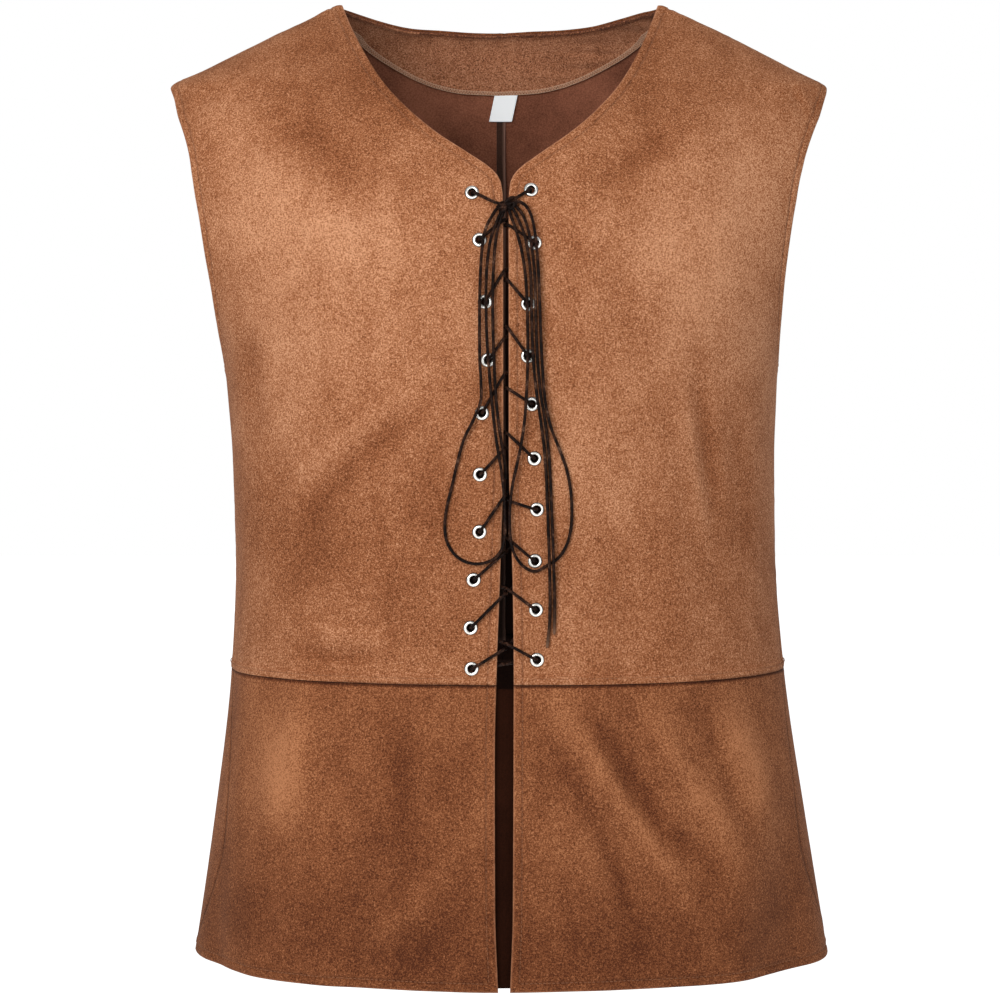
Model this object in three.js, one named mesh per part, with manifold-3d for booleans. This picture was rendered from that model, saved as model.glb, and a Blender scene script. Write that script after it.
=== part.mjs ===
// Renaissance vest: sleeveless, hip-length, laced at the centre front, filled out as it is worn.
// Millimetres. The front faces -Y, +X is the wearer's left, +Z is up. The origin lies midway between
// the neck ends of the two shoulder seams, where the wearer's shoulders hold the vest up.
import * as THREE from 'three';
import { mergeVertices } from 'three/addons/utils/BufferGeometryUtils.js';
import Module from 'manifold-3d';

// ---------------------------------------------------------------- driving dimensions
const CLOTH = 2; // thickness of every wall
const SEAM_GAP = 0.3; // air between neighbouring pieces
const NECK_Z = -1.2; // neck ends of the shoulder seams
const WAIST_Z = -486; // seam between bodice and skirt
const HEM_Z = -696;
const SECTION_POWER = 2.3; // squareness of a horizontal section: 2 is an ellipse
const CENTRE_BACK_X = 2;
const BACK_NECK_DROP = 9.4; // the back neckline's lowest point below its ends
const FACING_CLOTH = 1.2;
const FACING_GAP = 0.4; // the facing lies this far inside the back panels
const WAIST_STRIP = { height: 6, lift: 1.2 }; // lapped edge of the bodice over the skirt
const ARMHOLE = { top: -59, bottom: -262, front: 62, back: 58 }; // an oval, seen from the side
const RIPPLE = { share: 0.013, waves: 9, phase: 0.6, start: -500 }; // soft flare waves of the skirt

// Horizontal sections: half width, depth before and behind the side line, sideways lean.
const SECTIONS = [
  { z: 0, half: 116, front: 8, back: 46, lean: 0 },
  { z: -6, half: 129, front: 14, back: 65, lean: 0 },
  { z: -12, half: 140.5, front: 21, back: 77, lean: 1 },
  { z: -24, half: 165.5, front: 35, back: 87, lean: 0.8 },
  { z: -41, half: 199.5, front: 50, back: 95, lean: 0 },
  { z: -50, half: 217, front: 57.6, back: 98.2, lean: -0.5 },
  { z: -59, half: 235.5, front: 65, back: 101, lean: -1.5 },
  { z: -64, half: 243, front: 69, back: 102.4, lean: -1 },
  { z: -70, half: 245.5, front: 74, back: 104, lean: -0.5 },
  { z: -88, half: 249, front: 88, back: 108, lean: -1 },
  { z: -106, half: 248, front: 99.5, back: 111, lean: -1.2 },
  { z: -143, half: 239.5, front: 116.5, back: 115, lean: -2.5 },
  { z: -180, half: 229.7, front: 123, back: 116.5, lean: -2.5 },
  { z: -216, half: 217, front: 126, back: 116, lean: -1.5 },
  { z: -240, half: 209, front: 126.8, back: 115.2, lean: -0.6 },
  { z: -262, half: 203.7, front: 127, back: 114, lean: 0.7 },
  { z: -295, half: 201.4, front: 126.8, back: 111.2, lean: 1.6 },
  { z: -330, half: 199.6, front: 126, back: 108, lean: 2.4 },
  { z: -400, half: 198.7, front: 124, back: 103, lean: 4.1 },
  { z: -486, half: 204, front: 127, back: 106, lean: 5.8 },
  { z: -590, half: 217.3, front: 136, back: 121, lean: 7.8 },
  { z: -696, half: 232, front: 146, back: 136, lean: 9 },
];

// Front neckline: distance from the middle of the opening.
const NECKLINE = [
  { z: 0, x: 116 },
  { z: -25, x: 105.5 },
  { z: -50, x: 93 },
  { z: -68, x: 81.5 },
  { z: -85, x: 66.5 },
  { z: -103, x: 46 },
  { z: -118, x: 24.5 },
  { z: -130, x: 8.5 },
  { z: -138, x: 3.4 },
  { z: -150, x: 1.8 },
];

// The open edge below the neckline: its middle and half its width.
const OPENING = [
  { z: 0, middle: 0, half: 1.8 },
  { z: -60, middle: 0.8, half: 1.8 },
  { z: -150, middle: 4, half: 1.8 },
  { z: -330, middle: 4.2, half: 1.8 },
  { z: -400, middle: 4.4, half: 3.9 },
  { z: -470, middle: 3.7, half: 5.7 },
  { z: -530, middle: 2.9, half: 6.4 },
  { z: -640, middle: 2.8, half: 6 },
  { z: -696, middle: 2.9, half: 4 },
];

// Side seam: degrees round from the centre front.
const SIDE_SEAM = [
  { z: -262, angle: 90 },
  { z: -350, angle: 88 },
  { z: -486, angle: 78 },
  { z: -606, angle: 70 },
  { z: -645, angle: 74 },
  { z: -683, angle: 82 },
  { z: -696, angle: 85 },
];

// Lower edge of the neck facing: height by degrees round from the centre front.
const FACING_EDGE = [
  { angle: 90, z: -20 },
  { angle: 140, z: -19.5 },
  { angle: 154, z: -32 },
  { angle: 163, z: -43.5 },
  { angle: 172, z: -53 },
  { angle: 180, z: -54.5 },
];

// Ten pairs of eyelets from the top. slitRight and slitLeft are the heights at which the strand that
// leaves each eyelet slips into the front opening; the top pair's strands go to the knot instead.
const EYELET_PAIRS = [
  { rightX: -19.3, rightZ: -146.5, slitRight: null, leftX: 21.3, leftZ: -144.5, slitLeft: null },
  { rightX: -14.1, rightZ: -179.1, slitRight: -165.4, leftX: 23.7, leftZ: -181.1, slitLeft: -168.8 },
  { rightX: -10.3, rightZ: -221.6, slitRight: -199.7, leftX: 19.2, leftZ: -223, slitLeft: -206.5 },
  { rightX: -8.2, rightZ: -261.4, slitRight: -245.6, leftX: 19.2, leftZ: -258.6, slitLeft: -238.8 },
  { rightX: -12.4, rightZ: -297.8, slitRight: -270.3, leftX: 22, leftZ: -291.6, slitLeft: -280.6 },
  { rightX: -13.8, rightZ: -340.1, slitRight: -321.8, leftX: 23.7, leftZ: -329.1, slitLeft: -311.5 },
  { rightX: -14.2, rightZ: -379.9, slitRight: -354.2, leftX: 25.5, leftZ: -364.3, slitLeft: -357.8 },
  { rightX: -18.3, rightZ: -413.1, slitRight: -393.7, leftX: 24.2, leftZ: -400, slitLeft: -384 },
  { rightX: -20.4, rightZ: -446.3, slitRight: -422.6, leftX: 24.9, leftZ: -433.8, slitLeft: -419 },
  { rightX: -19.7, rightZ: -474.6, slitRight: -460.8, leftX: 25.6, leftZ: -468.4, slitLeft: -457.2 },
];
const EYELET = {
  rim: 5, crown: 4.2, bore: 2.4, barrel: 2.9, face: 1.2, backRim: 4.6, backFace: 0.4, hole: 3.2, seat: 0.5,
  sides: 10,
};

const LACE = { radius: 1.1, sides: 8 };
const KNOT = { x: 4.5, z: -155.5, lift: 4.6, halfWidth: 6.5, halfDepth: 3.2, halfHeight: 4 };

// The bow, as points [x, z, lift above the cloth]. Each cord starts at the knot.
const BOW_CORDS = {
  lace_loop_right: [
    [-1.3, -158.2, 4.8], [-5.2, -163.5, 5.2], [-9.2, -171, 5.3], [-11.6, -181, 5.3], [-12.9, -195, 5.3],
    [-13.6, -212, 5.3], [-13.9, -229, 5.3], [-13.9, -246, 5.3], [-13.7, -262, 5.3], [-12.9, -277, 5.3],
    [-13.2, -290, 5.3], [-18.4, -303, 4.8], [-24.4, -315, 3.2], [-29, -331, 2.1], [-33.2, -349, 1.9],
    [-36.6, -363, 1.9], [-38, -375, 1.9], [-36.4, -387, 1.9], [-30.6, -396, 2], [-23, -400.6, 2.6],
    [-14, -401.6, 3.8], [-5, -398.6, 5.2], [0.6, -392.6, 5.4], [3, -384, 5.4], [3.3, -370, 5.3],
    [2.9, -356, 5.3], [1.6, -342, 5.3], [-0.6, -328, 5.3], [-2.8, -314, 5.3], [-4.6, -299, 5.3],
    [-6.2, -283, 5.3], [-7.6, -266, 5.3], [-8.8, -249, 5.3], [-9.4, -231, 5.3], [-9.5, -213, 5.3],
    [-8.7, -196, 5.3], [-6.4, -180, 5.3], [-2.6, -168.5, 5.2], [1.5, -159.8, 4.8],
  ],
  lace_loop_left: [
    [11.7, -154, 5], [17, -156.4, 5.2], [21, -163, 5.3], [23.4, -173, 5.3], [25, -186, 5.3],
    [26, -201, 5.3], [26.7, -217, 5.3], [27.3, -234, 5.3], [28, -251, 5.3], [28.8, -267, 5.3],
    [29.8, -281, 5.3], [31.6, -295, 5.3], [35.2, -309, 4.6], [40.4, -322, 2.8], [45.2, -335, 1.9],
    [48.2, -349, 1.9], [49.2, -363, 1.9], [48.8, -376, 1.9], [46, -388, 1.9], [40.4, -397.4, 1.9],
    [32.4, -402.8, 2], [24, -407, 2.6], [16.4, -403.6, 4], [10.8, -396.6, 5.2], [7.6, -387, 5.4],
    [6.6, -374, 5.3], [7, -360, 5.3], [8.8, -346, 5.3], [11.8, -332, 5.3], [14.6, -318, 5.3],
    [16.6, -304, 5.3], [17.8, -289, 5.3], [18.6, -272, 5.3], [18.9, -255, 5.3], [18.7, -237, 5.3],
    [18.2, -219, 5.3], [17, -202, 5.3], [14.4, -186, 5.3], [10.6, -172.5, 5.2], [6.4, -160.1, 4.8],
  ],
  lace_end_one: [
    [9, -159.2, 4.8], [12.8, -167, 5.2], [16.4, -176, 5.3], [19, -189, 5.3], [20.8, -204, 5.3],
    [21.3, -220, 5.3], [21.6, -237, 5.3], [22.2, -254, 5.3], [23.4, -271, 5.3], [25.4, -288, 5.3],
    [28, -305, 4.6], [30.2, -322, 2.8], [31.6, -340, 2.2], [32.4, -358, 2.3], [33, -375, 3.2],
    [33.5, -391, 4.9], [33.8, -404, 5.3], [34.2, -418, 3.6], [34.4, -433, 2.1], [33.8, -447, 1.8],
    [32.4, -460, 1.8],
  ],
  lace_end_two: [
    [11, -157.4, 4.9], [15.4, -163, 5.2], [18.8, -172, 5.3], [21.8, -187, 5.3], [23.4, -202, 5.3],
    [24, -218, 5.3], [24.4, -235, 5.3], [25, -252, 5.3], [26.1, -269, 5.3], [27.9, -286, 5.3],
    [30.7, -303, 4.6], [32.9, -320, 2.8], [34.3, -338, 2.2], [35.1, -356, 2.3], [35.7, -373, 3.2],
    [36.2, -389, 4.9], [36.6, -403, 5.3], [37.2, -417, 3.6], [37.6, -432, 2.1], [37.3, -451, 1.8],
  ],
};

const COLOURS = { bodice: 0x9c6443, skirt: 0x80502f, facing: 0x8a593e, label: 0xdedfde, silver: 0xc9c9c6, lace: 0x2c1d14 };

// ---------------------------------------------------------------- smooth tables
// A monotone cubic through one column of a table, read at any height or angle.
function smooth(rows, key, column) {
  const sorted = [...rows].sort((a, b) => a[key] - b[key]);
  const at = sorted.map((row) => row[key]);
  const value = sorted.map((row) => row[column]);
  const last = at.length - 1;
  const slope = at.slice(1).map((end, i) => (value[i + 1] - value[i]) / (end - at[i]));
  const tangent = at.map((_, i) => {
    if (i === 0) return slope[0];
    if (i === last) return slope[last - 1];
    const [before, after] = [slope[i - 1], slope[i]];
    return before * after <= 0 ? 0 : (2 * before * after) / (before + after);
  });
  return (position) => {
    const p = Math.min(Math.max(position, at[0]), at[last]);
    let i = 0;
    while (i < last - 1 && p > at[i + 1]) i += 1;
    const width = at[i + 1] - at[i];
    const t = (p - at[i]) / width;
    const rise = value[i + 1] - value[i];
    const bend = t * (1 - t) * ((1 - t) * (width * tangent[i] - rise) - t * (width * tangent[i + 1] - rise));
    return value[i] + t * rise + bend;
  };
}

const halfAt = smooth(SECTIONS, 'z', 'half');
const frontAt = smooth(SECTIONS, 'z', 'front');
const backAt = smooth(SECTIONS, 'z', 'back');
const leanAt = smooth(SECTIONS, 'z', 'lean');
const necklineAt = smooth(NECKLINE, 'z', 'x');
const openingMiddleAt = smooth(OPENING, 'z', 'middle');
const openingHalfAt = smooth(OPENING, 'z', 'half');
const sideSeamAt = smooth(SIDE_SEAM, 'z', 'angle');
const facingEdgeAt = smooth(FACING_EDGE, 'angle', 'z');

// ---------------------------------------------------------------- the body surface
const radians = THREE.MathUtils.degToRad;
const powered = (value, power) => Math.sign(value) * Math.abs(value) ** power;

// A point of the outer surface: side is +1 or -1, angle runs from 0 at the centre front to pi.
function surface(side, angle, z) {
  const depth = Math.cos(angle) > 0 ? frontAt(z) : backAt(z);
  const below = Math.max(0, (RIPPLE.start - z) / (RIPPLE.start - HEM_Z));
  const wave = Math.cos(RIPPLE.waves * side * angle + RIPPLE.phase);
  const ripple = 1 + RIPPLE.share * below ** 1.5 * wave;
  return new THREE.Vector3(
    leanAt(z) + side * halfAt(z) * powered(Math.sin(angle), 2 / SECTION_POWER) * ripple,
    -depth * powered(Math.cos(angle), 2 / SECTION_POWER) * ripple,
    z,
  );
}

function normalAt(side, angle, z) {
  const step = 0.01;
  const along = surface(side, angle + step, z).sub(surface(side, angle - step, z));
  const up = surface(side, angle, z + step * 50).sub(surface(side, angle, z - step * 50));
  return along.cross(up).multiplyScalar(side).normalize();
}

function lifted(side, angle, z, lift) {
  return surface(side, angle, z).addScaledVector(normalAt(side, angle, z), lift);
}

// The angle at which a section reaches a given x on its front or back.
function angleOf(side, x, z) {
  const share = (side * (x - leanAt(z))) / halfAt(z);
  return Math.asin(powered(Math.min(share, 1), SECTION_POWER / 2));
}

function onFront(x, z, lift) {
  const side = x < leanAt(z) ? -1 : 1;
  return lifted(side, angleOf(side, x, z), z, lift);
}

// Where a panel ends at the side: the shoulder ridge, then the armhole's oval, then the side seam.
function sideEdge(z, isFront) {
  const gap = SEAM_GAP / 2 / (isFront ? frontAt(z) : backAt(z));
  const turn = isFront ? -1 : 1;
  if (z >= ARMHOLE.top) return Math.PI / 2 + turn * gap;
  if (z <= ARMHOLE.bottom) return radians(sideSeamAt(z)) + turn * gap;
  const middle = (ARMHOLE.top + ARMHOLE.bottom) / 2;
  const height = (z - middle) / (ARMHOLE.top - middle);
  const reach = (isFront ? ARMHOLE.front : ARMHOLE.back) * Math.sqrt(1 - height * height);
  const depth = isFront ? frontAt(z) : backAt(z);
  return Math.PI / 2 + turn * Math.max(gap, Math.asin((reach / depth) ** (SECTION_POWER / 2)));
}

function frontEdge(side, z) {
  const half = z > NECKLINE.at(-1).z ? necklineAt(z) : openingHalfAt(z);
  return angleOf(side, openingMiddleAt(z) + side * half, z);
}

function backEdge(side, z) {
  return Math.PI - angleOf(side, CENTRE_BACK_X + (side * SEAM_GAP) / 2, z);
}

// The back neckline dips towards the centre back, and lower rows level out.
function backNeckline(angle) {
  return NECK_Z - BACK_NECK_DROP * Math.sin(angle - Math.PI / 2) ** 3;
}

// ---------------------------------------------------------------- walls
// Closes a grid of {outer, inner} points into one solid wall.
function wallGeometry(grid) {
  const rows = grid.length;
  const columns = grid[0].length;
  const layer = rows * columns;
  const points = [...grid.flat().map((p) => p.outer), ...grid.flat().map((p) => p.inner)];
  const index = [];
  const quad = (a, b, c, d) => index.push(a, b, c, a, c, d);
  for (let i = 0; i < rows - 1; i += 1) {
    for (let j = 0; j < columns - 1; j += 1) {
      const a = i * columns + j;
      quad(a, a + columns, a + columns + 1, a + 1);
      quad(layer + a, layer + a + 1, layer + a + columns + 1, layer + a + columns);
    }
  }
  const rim = [
    ...Array.from({ length: columns - 1 }, (_, j) => j),
    ...Array.from({ length: rows - 1 }, (_, i) => i * columns + columns - 1),
    ...Array.from({ length: columns - 1 }, (_, j) => layer - 1 - j),
    ...Array.from({ length: rows - 1 }, (_, i) => (rows - 1 - i) * columns),
  ];
  rim.forEach((a, k) => {
    const b = rim[(k + 1) % rim.length];
    quad(a, b, layer + b, layer + a);
  });
  const geometry = new THREE.BufferGeometry().setFromPoints(points);
  geometry.setIndex(index);
  return geometry;
}

function faceOutward(geometry) {
  const position = geometry.getAttribute('position');
  const index = geometry.index.array;
  const corner = (k) => new THREE.Vector3().fromBufferAttribute(position, index[k]);
  let volume = 0;
  for (let k = 0; k < index.length; k += 3) volume += corner(k).dot(corner(k + 1).cross(corner(k + 2)));
  if (volume < 0) for (let k = 0; k < index.length; k += 3) [index[k], index[k + 1]] = [index[k + 1], index[k]];
  return geometry;
}

function mesh(name, geometry, colour, roughness = 0.95, metalness = 0) {
  const material = new THREE.MeshStandardMaterial({ color: colour, roughness, metalness });
  const result = new THREE.Mesh(geometry, material);
  result.name = name;
  return result;
}

// A panel between two edges, as rows of heights and a number of columns. at(row, share) gives
// {angle, z}; lift gives how far the outer face stands off there.
function panelGeometry(side, rows, columns, at, lift = () => 0, cloth = CLOTH) {
  const grid = rows.map((row) => Array.from({ length: columns + 1 }, (_, j) => {
    const { angle, z } = at(row, j / columns);
    return { outer: lifted(side, angle, z, lift(z)), inner: lifted(side, angle, z, Math.min(lift(z), 0) - cloth) };
  }));
  return faceOutward(wallGeometry(grid));
}

const mix = THREE.MathUtils.lerp;

const SHOULDER_ROWS = [NECK_Z, -4, -8, -14, -22, -31, -40, -50, -59];
const ARMHOLE_ROWS = [-60.2, -63, -68, -75, -85, -97, -112];
const UNDERARM_ROWS = [-243, -252, -258.5, -261.5, -262];
const NECK_POINT_ROWS = [-124, -130, -135, -140, -146, -155];
const EYELET_ROWS = [-167, -180, -201, -222];
const LOW_EYELET_ROWS = [-278, -297, -315, -335, -354, -372, -407, -440];
const BACK_WAIST_ROWS = [-297, -335, -372, -407, -440];
const WAIST_ROWS = [WAIST_Z + 16, WAIST_Z + WAIST_STRIP.height + 0.3];
const STRIP_ROWS = [WAIST_Z + WAIST_STRIP.height, WAIST_Z];
const FRONT_ROWS = [
  ...SHOULDER_ROWS, ...ARMHOLE_ROWS, ...NECK_POINT_ROWS, ...EYELET_ROWS, ...UNDERARM_ROWS,
  ...LOW_EYELET_ROWS, ...WAIST_ROWS, ...STRIP_ROWS,
];
const BACK_ROWS = [
  ...SHOULDER_ROWS, ...ARMHOLE_ROWS, -135, -165, -195, -222, ...UNDERARM_ROWS,
  ...BACK_WAIST_ROWS, ...WAIST_ROWS, ...STRIP_ROWS,
];
const FRONT_COLUMNS = 10;
const BACK_COLUMNS = 9; // on each side, and twice as many across the facing
const SKIRT_COLUMNS = 11; // on each front, and twice as many round the back
const SKIRT_ROWS = [WAIST_Z - SEAM_GAP, -520, -560, -606, -645, -675, HEM_Z];

const waistStripLift = (z) => (z <= WAIST_Z + WAIST_STRIP.height ? WAIST_STRIP.lift : 0);

function bodiceFront(side) {
  // Columns are closer together at the lacing than at the side.
  const at = (z, share) => {
    const warped = share * (0.72 + 0.28 * share);
    return { angle: mix(frontEdge(side, z), sideEdge(z, true), warped), z };
  };
  return panelGeometry(side, FRONT_ROWS, FRONT_COLUMNS, at, waistStripLift);
}

function bodiceBack(side) {
  const levelOut = 90; // the neckline's dip has faded this far down
  const at = (row, share) => {
    const angle = mix(backEdge(side, row), sideEdge(row, false), share);
    const fade = Math.max(0, 1 + (row - NECK_Z) / levelOut);
    return { angle, z: row + fade * (backNeckline(angle) - NECK_Z) };
  };
  return panelGeometry(side, BACK_ROWS, BACK_COLUMNS, at, waistStripLift);
}

function skirtFront(side) {
  const at = (z, share) => ({ angle: mix(frontEdge(side, z), sideEdge(z, true), share), z });
  return panelGeometry(side, SKIRT_ROWS, SKIRT_COLUMNS, at);
}

// One piece right round the back, from side seam to side seam.
function skirtBack() {
  const at = (z, share) => ({ angle: mix(sideEdge(z, false), 2 * Math.PI - sideEdge(z, false), share), z });
  return panelGeometry(1, SKIRT_ROWS, 2 * SKIRT_COLUMNS, at);
}

// The facing lies inside the back panels, from shoulder seam to shoulder seam.
function neckFacing() {
  const inside = -(CLOTH + FACING_GAP);
  const shoulder = sideEdge(NECK_Z, false);
  const at = (row, share) => {
    const angle = mix(shoulder, 2 * Math.PI - shoulder, share);
    const fromFront = angle > Math.PI ? 2 * Math.PI - angle : angle;
    return { angle, z: mix(backNeckline(fromFront), facingEdgeAt(THREE.MathUtils.radToDeg(fromFront)), row) };
  };
  const rows = [0, 0.12, 0.3, 0.5, 0.75, 1];
  return panelGeometry(1, rows, 2 * BACK_COLUMNS, at, () => inside, FACING_CLOTH);
}

// A woven care label, sewn in under the facing at the centre back. It carries no print.
function careLabel() {
  const label = { x: 4.6, top: -55.8, width: 17.8, height: 19, cloth: 0.8, slant: 0.22 };
  const geometry = new THREE.BoxGeometry(label.width, label.cloth, label.height);
  geometry.translate(0, 0, -label.height / 2);
  const inward = normalAt(1, Math.PI, label.top - label.height / 2).negate();
  const seat = lifted(1, Math.PI, label.top, -(CLOTH + SEAM_GAP * 2 + label.cloth / 2));
  geometry.applyMatrix4(new THREE.Matrix4().makeShear(0, 0, 0, 0, label.slant, 0));
  geometry.applyQuaternion(new THREE.Quaternion().setFromUnitVectors(new THREE.Vector3(0, -1, 0), inward));
  geometry.translate(label.x, seat.y, label.top);
  return geometry;
}

// ---------------------------------------------------------------- eyelets and their holes
const EYELETS = EYELET_PAIRS.flatMap((pair, k) => {
  const number = String(k + 1).padStart(2, '0');
  return [
    { name: `eyelet_right_${number}`, side: -1, x: pair.rightX, z: pair.rightZ },
    { name: `eyelet_left_${number}`, side: 1, x: pair.leftX, z: pair.leftZ },
  ];
});

// Turns a piece made round +Y so that +Y points out of the cloth, and seats it there.
function seatOnFront(geometry, x, z) {
  const foot = onFront(x, z, 0);
  const out = onFront(x, z, 1).sub(foot).normalize();
  geometry.applyQuaternion(new THREE.Quaternion().setFromUnitVectors(new THREE.Vector3(0, 1, 0), out));
  return geometry.translate(foot.x, foot.y, foot.z);
}

function eyeletGeometry({ x, z }) {
  const back = -(CLOTH + EYELET.seat);
  const profile = [
    [EYELET.bore, EYELET.face], [EYELET.bore, back - EYELET.backFace],
    [EYELET.backRim, back - EYELET.backFace / 2], [EYELET.barrel, back],
    [EYELET.barrel, EYELET.seat], [EYELET.rim, EYELET.seat],
    [EYELET.crown, EYELET.face + 0.1], [EYELET.bore, EYELET.face],
  ].map(([radius, height]) => new THREE.Vector2(radius, height));
  const ring = bare(new THREE.LatheGeometry(profile, EYELET.sides));
  return seatOnFront(faceOutward(ring), x, z);
}

function bare(geometry) {
  const copy = geometry.clone();
  for (const name of Object.keys(copy.attributes)) if (name !== 'position') copy.deleteAttribute(name);
  return mergeVertices(copy, 1e-4);
}

const wasm = await Module();
wasm.setup();

function toSolid(geometry) {
  const vertProperties = new Float32Array(geometry.getAttribute('position').array);
  return new wasm.Manifold(new wasm.Mesh({ numProp: 3, vertProperties, triVerts: new Uint32Array(geometry.index.array) }));
}

function fromSolid(solid) {
  const { vertProperties, triVerts } = solid.getMesh();
  const geometry = new THREE.BufferGeometry();
  geometry.setAttribute('position', new THREE.BufferAttribute(vertProperties, 3));
  geometry.setIndex(new THREE.BufferAttribute(triVerts, 1));
  return geometry;
}

function withEyeletHoles(geometry, side) {
  let solid = toSolid(bare(geometry));
  for (const eyelet of EYELETS.filter((e) => e.side === side)) {
    const drill = bare(new THREE.CylinderGeometry(EYELET.hole, EYELET.hole, CLOTH * 5, EYELET.sides));
    solid = solid.subtract(toSolid(seatOnFront(drill, eyelet.x, eyelet.z)));
  }
  return fromSolid(solid);
}

// ---------------------------------------------------------------- lace
// A curve whose stations fall on its own points, so bends can have close points and runs wide ones.
class StationCurve extends THREE.CatmullRomCurve3 {
  getPointAt(share, target) { return this.getPoint(share, target); }

  getTangentAt(share, target) { return this.getTangent(share, target); }
}

function laceGeometry(points) {
  const section = new THREE.Shape();
  for (let k = 0; k < LACE.sides; k += 1) {
    const angle = (2 * Math.PI * (k + 0.5)) / LACE.sides;
    const [x, y] = [LACE.radius * Math.cos(angle), LACE.radius * Math.sin(angle)];
    if (k) section.lineTo(x, y);
    else section.moveTo(x, y);
  }
  const path = new StationCurve(points, false, 'centripetal');
  return bare(new THREE.ExtrudeGeometry(section, { steps: points.length - 1, bevelEnabled: false, extrudePath: path }));
}

// Through an eyelet from inside to outside: [distance from its middle, lift], before and after.
const EYELET_ENTRY = [[5.5, -4.7], [1.2, -4.4], [0, -1.6]];
const EYELET_EXIT = [[0, 0.2], [1.3, 2.65], [5.5, 2.85]];
const SLIT_OUTSIDE = { offset: 0.6, lift: 1.6 };
const SLIT_INSIDE = { offset: 0.6, lift: -3.6 };

// A point beside (x, z), a short way towards (toX, toZ).
function towards(x, z, toX, toZ, distance, lift) {
  const length = Math.hypot(toX - x, toZ - z);
  return onFront(x + ((toX - x) * distance) / length, z + ((toZ - z) * distance) / length, lift);
}

// Half of the lacing: from the bar behind the lowest pair it crosses sides at every pair up to the knot.
function lacingGeometry(firstSide) {
  const bottom = EYELET_PAIRS.length - 1;
  const points = [];
  const barLift = -4.7;
  let side = firstSide;
  let from = { x: openingMiddleAt(EYELET_PAIRS[bottom].rightZ) + side * 0.2, z: -471.5 };
  points.push(onFront(from.x, from.z, barLift));
  for (let k = bottom; k >= 0; k -= 1) {
    const pair = EYELET_PAIRS[k];
    const eyelet = side > 0 ? { x: pair.leftX, z: pair.leftZ } : { x: pair.rightX, z: pair.rightZ };
    for (const [distance, lift] of EYELET_ENTRY) {
      points.push(towards(eyelet.x, eyelet.z, from.x, from.z, distance, lift));
    }
    const knotEnd = side > 0 ? { x: 9.9, z: -152.2, lift: 4.2 } : { x: -2.5, z: -154.7, lift: 4.2 };
    const slitZ = side > 0 ? pair.slitLeft : pair.slitRight;
    const slit = k ? { x: openingMiddleAt(slitZ), z: slitZ } : knotEnd;
    for (const [distance, lift] of EYELET_EXIT) {
      points.push(towards(eyelet.x, eyelet.z, slit.x, slit.z, distance, lift));
    }
    if (k) {
      points.push(onFront(slit.x + side * SLIT_OUTSIDE.offset, slit.z, SLIT_OUTSIDE.lift));
      points.push(onFront(slit.x - side * SLIT_INSIDE.offset, slit.z, SLIT_INSIDE.lift));
    } else {
      points.push(onFront(knotEnd.x, knotEnd.z, knotEnd.lift));
    }
    from = slit;
    side = -side;
  }
  return laceGeometry(points);
}

function knotGeometry() {
  const geometry = bare(new THREE.SphereGeometry(1, 12, 8));
  geometry.scale(KNOT.halfWidth, KNOT.halfDepth, KNOT.halfHeight);
  const place = onFront(KNOT.x, KNOT.z, KNOT.lift);
  return geometry.translate(place.x, place.y, place.z);
}

// ---------------------------------------------------------------- the vest
const vest = new THREE.Group();
for (const [side, hand] of [[1, 'left'], [-1, 'right']]) {
  vest.add(mesh(`bodice_front_${hand}`, withEyeletHoles(bodiceFront(side), side), COLOURS.bodice));
  vest.add(mesh(`bodice_back_${hand}`, bodiceBack(side), COLOURS.bodice));
  vest.add(mesh(`skirt_front_${hand}`, skirtFront(side), COLOURS.skirt));
}
vest.add(mesh('skirt_back', skirtBack(), COLOURS.skirt));
vest.add(mesh('neck_facing', neckFacing(), COLOURS.facing));
vest.add(mesh('care_label', careLabel(), COLOURS.label));
for (const eyelet of EYELETS) {
  vest.add(mesh(eyelet.name, eyeletGeometry(eyelet), COLOURS.silver, 0.3, 1));
}
vest.add(mesh('lacing_one', lacingGeometry(-1), COLOURS.lace, 0.6));
vest.add(mesh('lacing_two', lacingGeometry(1), COLOURS.lace, 0.6));
vest.add(mesh('lace_knot', knotGeometry(), COLOURS.lace, 0.6));
for (const [name, route] of Object.entries(BOW_CORDS)) {
  vest.add(mesh(name, laceGeometry(route.map(([x, z, lift]) => onFront(x, z, lift))), COLOURS.lace, 0.6));
}

export default vest;
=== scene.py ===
import math

import bpy
import numpy as np
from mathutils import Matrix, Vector


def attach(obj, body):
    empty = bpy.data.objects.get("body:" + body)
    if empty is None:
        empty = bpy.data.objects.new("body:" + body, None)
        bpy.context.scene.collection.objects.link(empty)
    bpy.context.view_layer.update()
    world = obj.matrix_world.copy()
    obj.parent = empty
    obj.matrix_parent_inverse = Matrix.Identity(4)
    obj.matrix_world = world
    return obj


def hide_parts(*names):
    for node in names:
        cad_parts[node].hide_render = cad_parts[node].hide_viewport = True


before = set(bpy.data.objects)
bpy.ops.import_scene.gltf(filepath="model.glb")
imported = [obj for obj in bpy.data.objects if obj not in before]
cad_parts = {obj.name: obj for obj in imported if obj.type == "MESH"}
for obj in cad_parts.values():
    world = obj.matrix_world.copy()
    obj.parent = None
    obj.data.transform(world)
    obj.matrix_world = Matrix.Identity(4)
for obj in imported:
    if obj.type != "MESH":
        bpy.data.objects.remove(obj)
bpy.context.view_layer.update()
MM = 0.001

# ---------------------------------------------------------------- camera
CAMERA_PLACE, DEGREES_DOWN = (0, -1.8, -0.272), 2.93
SENSOR_MM, LENS_MM = 36, 87.57
camera = bpy.data.objects.new("camera", bpy.data.cameras.new("camera"))
camera.data.sensor_width, camera.data.lens = SENSOR_MM, LENS_MM
camera.location = CAMERA_PLACE
camera.rotation_euler = (math.radians(90 - DEGREES_DOWN), 0, 0)
bpy.context.scene.collection.objects.link(camera)
bpy.context.scene.camera = camera

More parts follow.
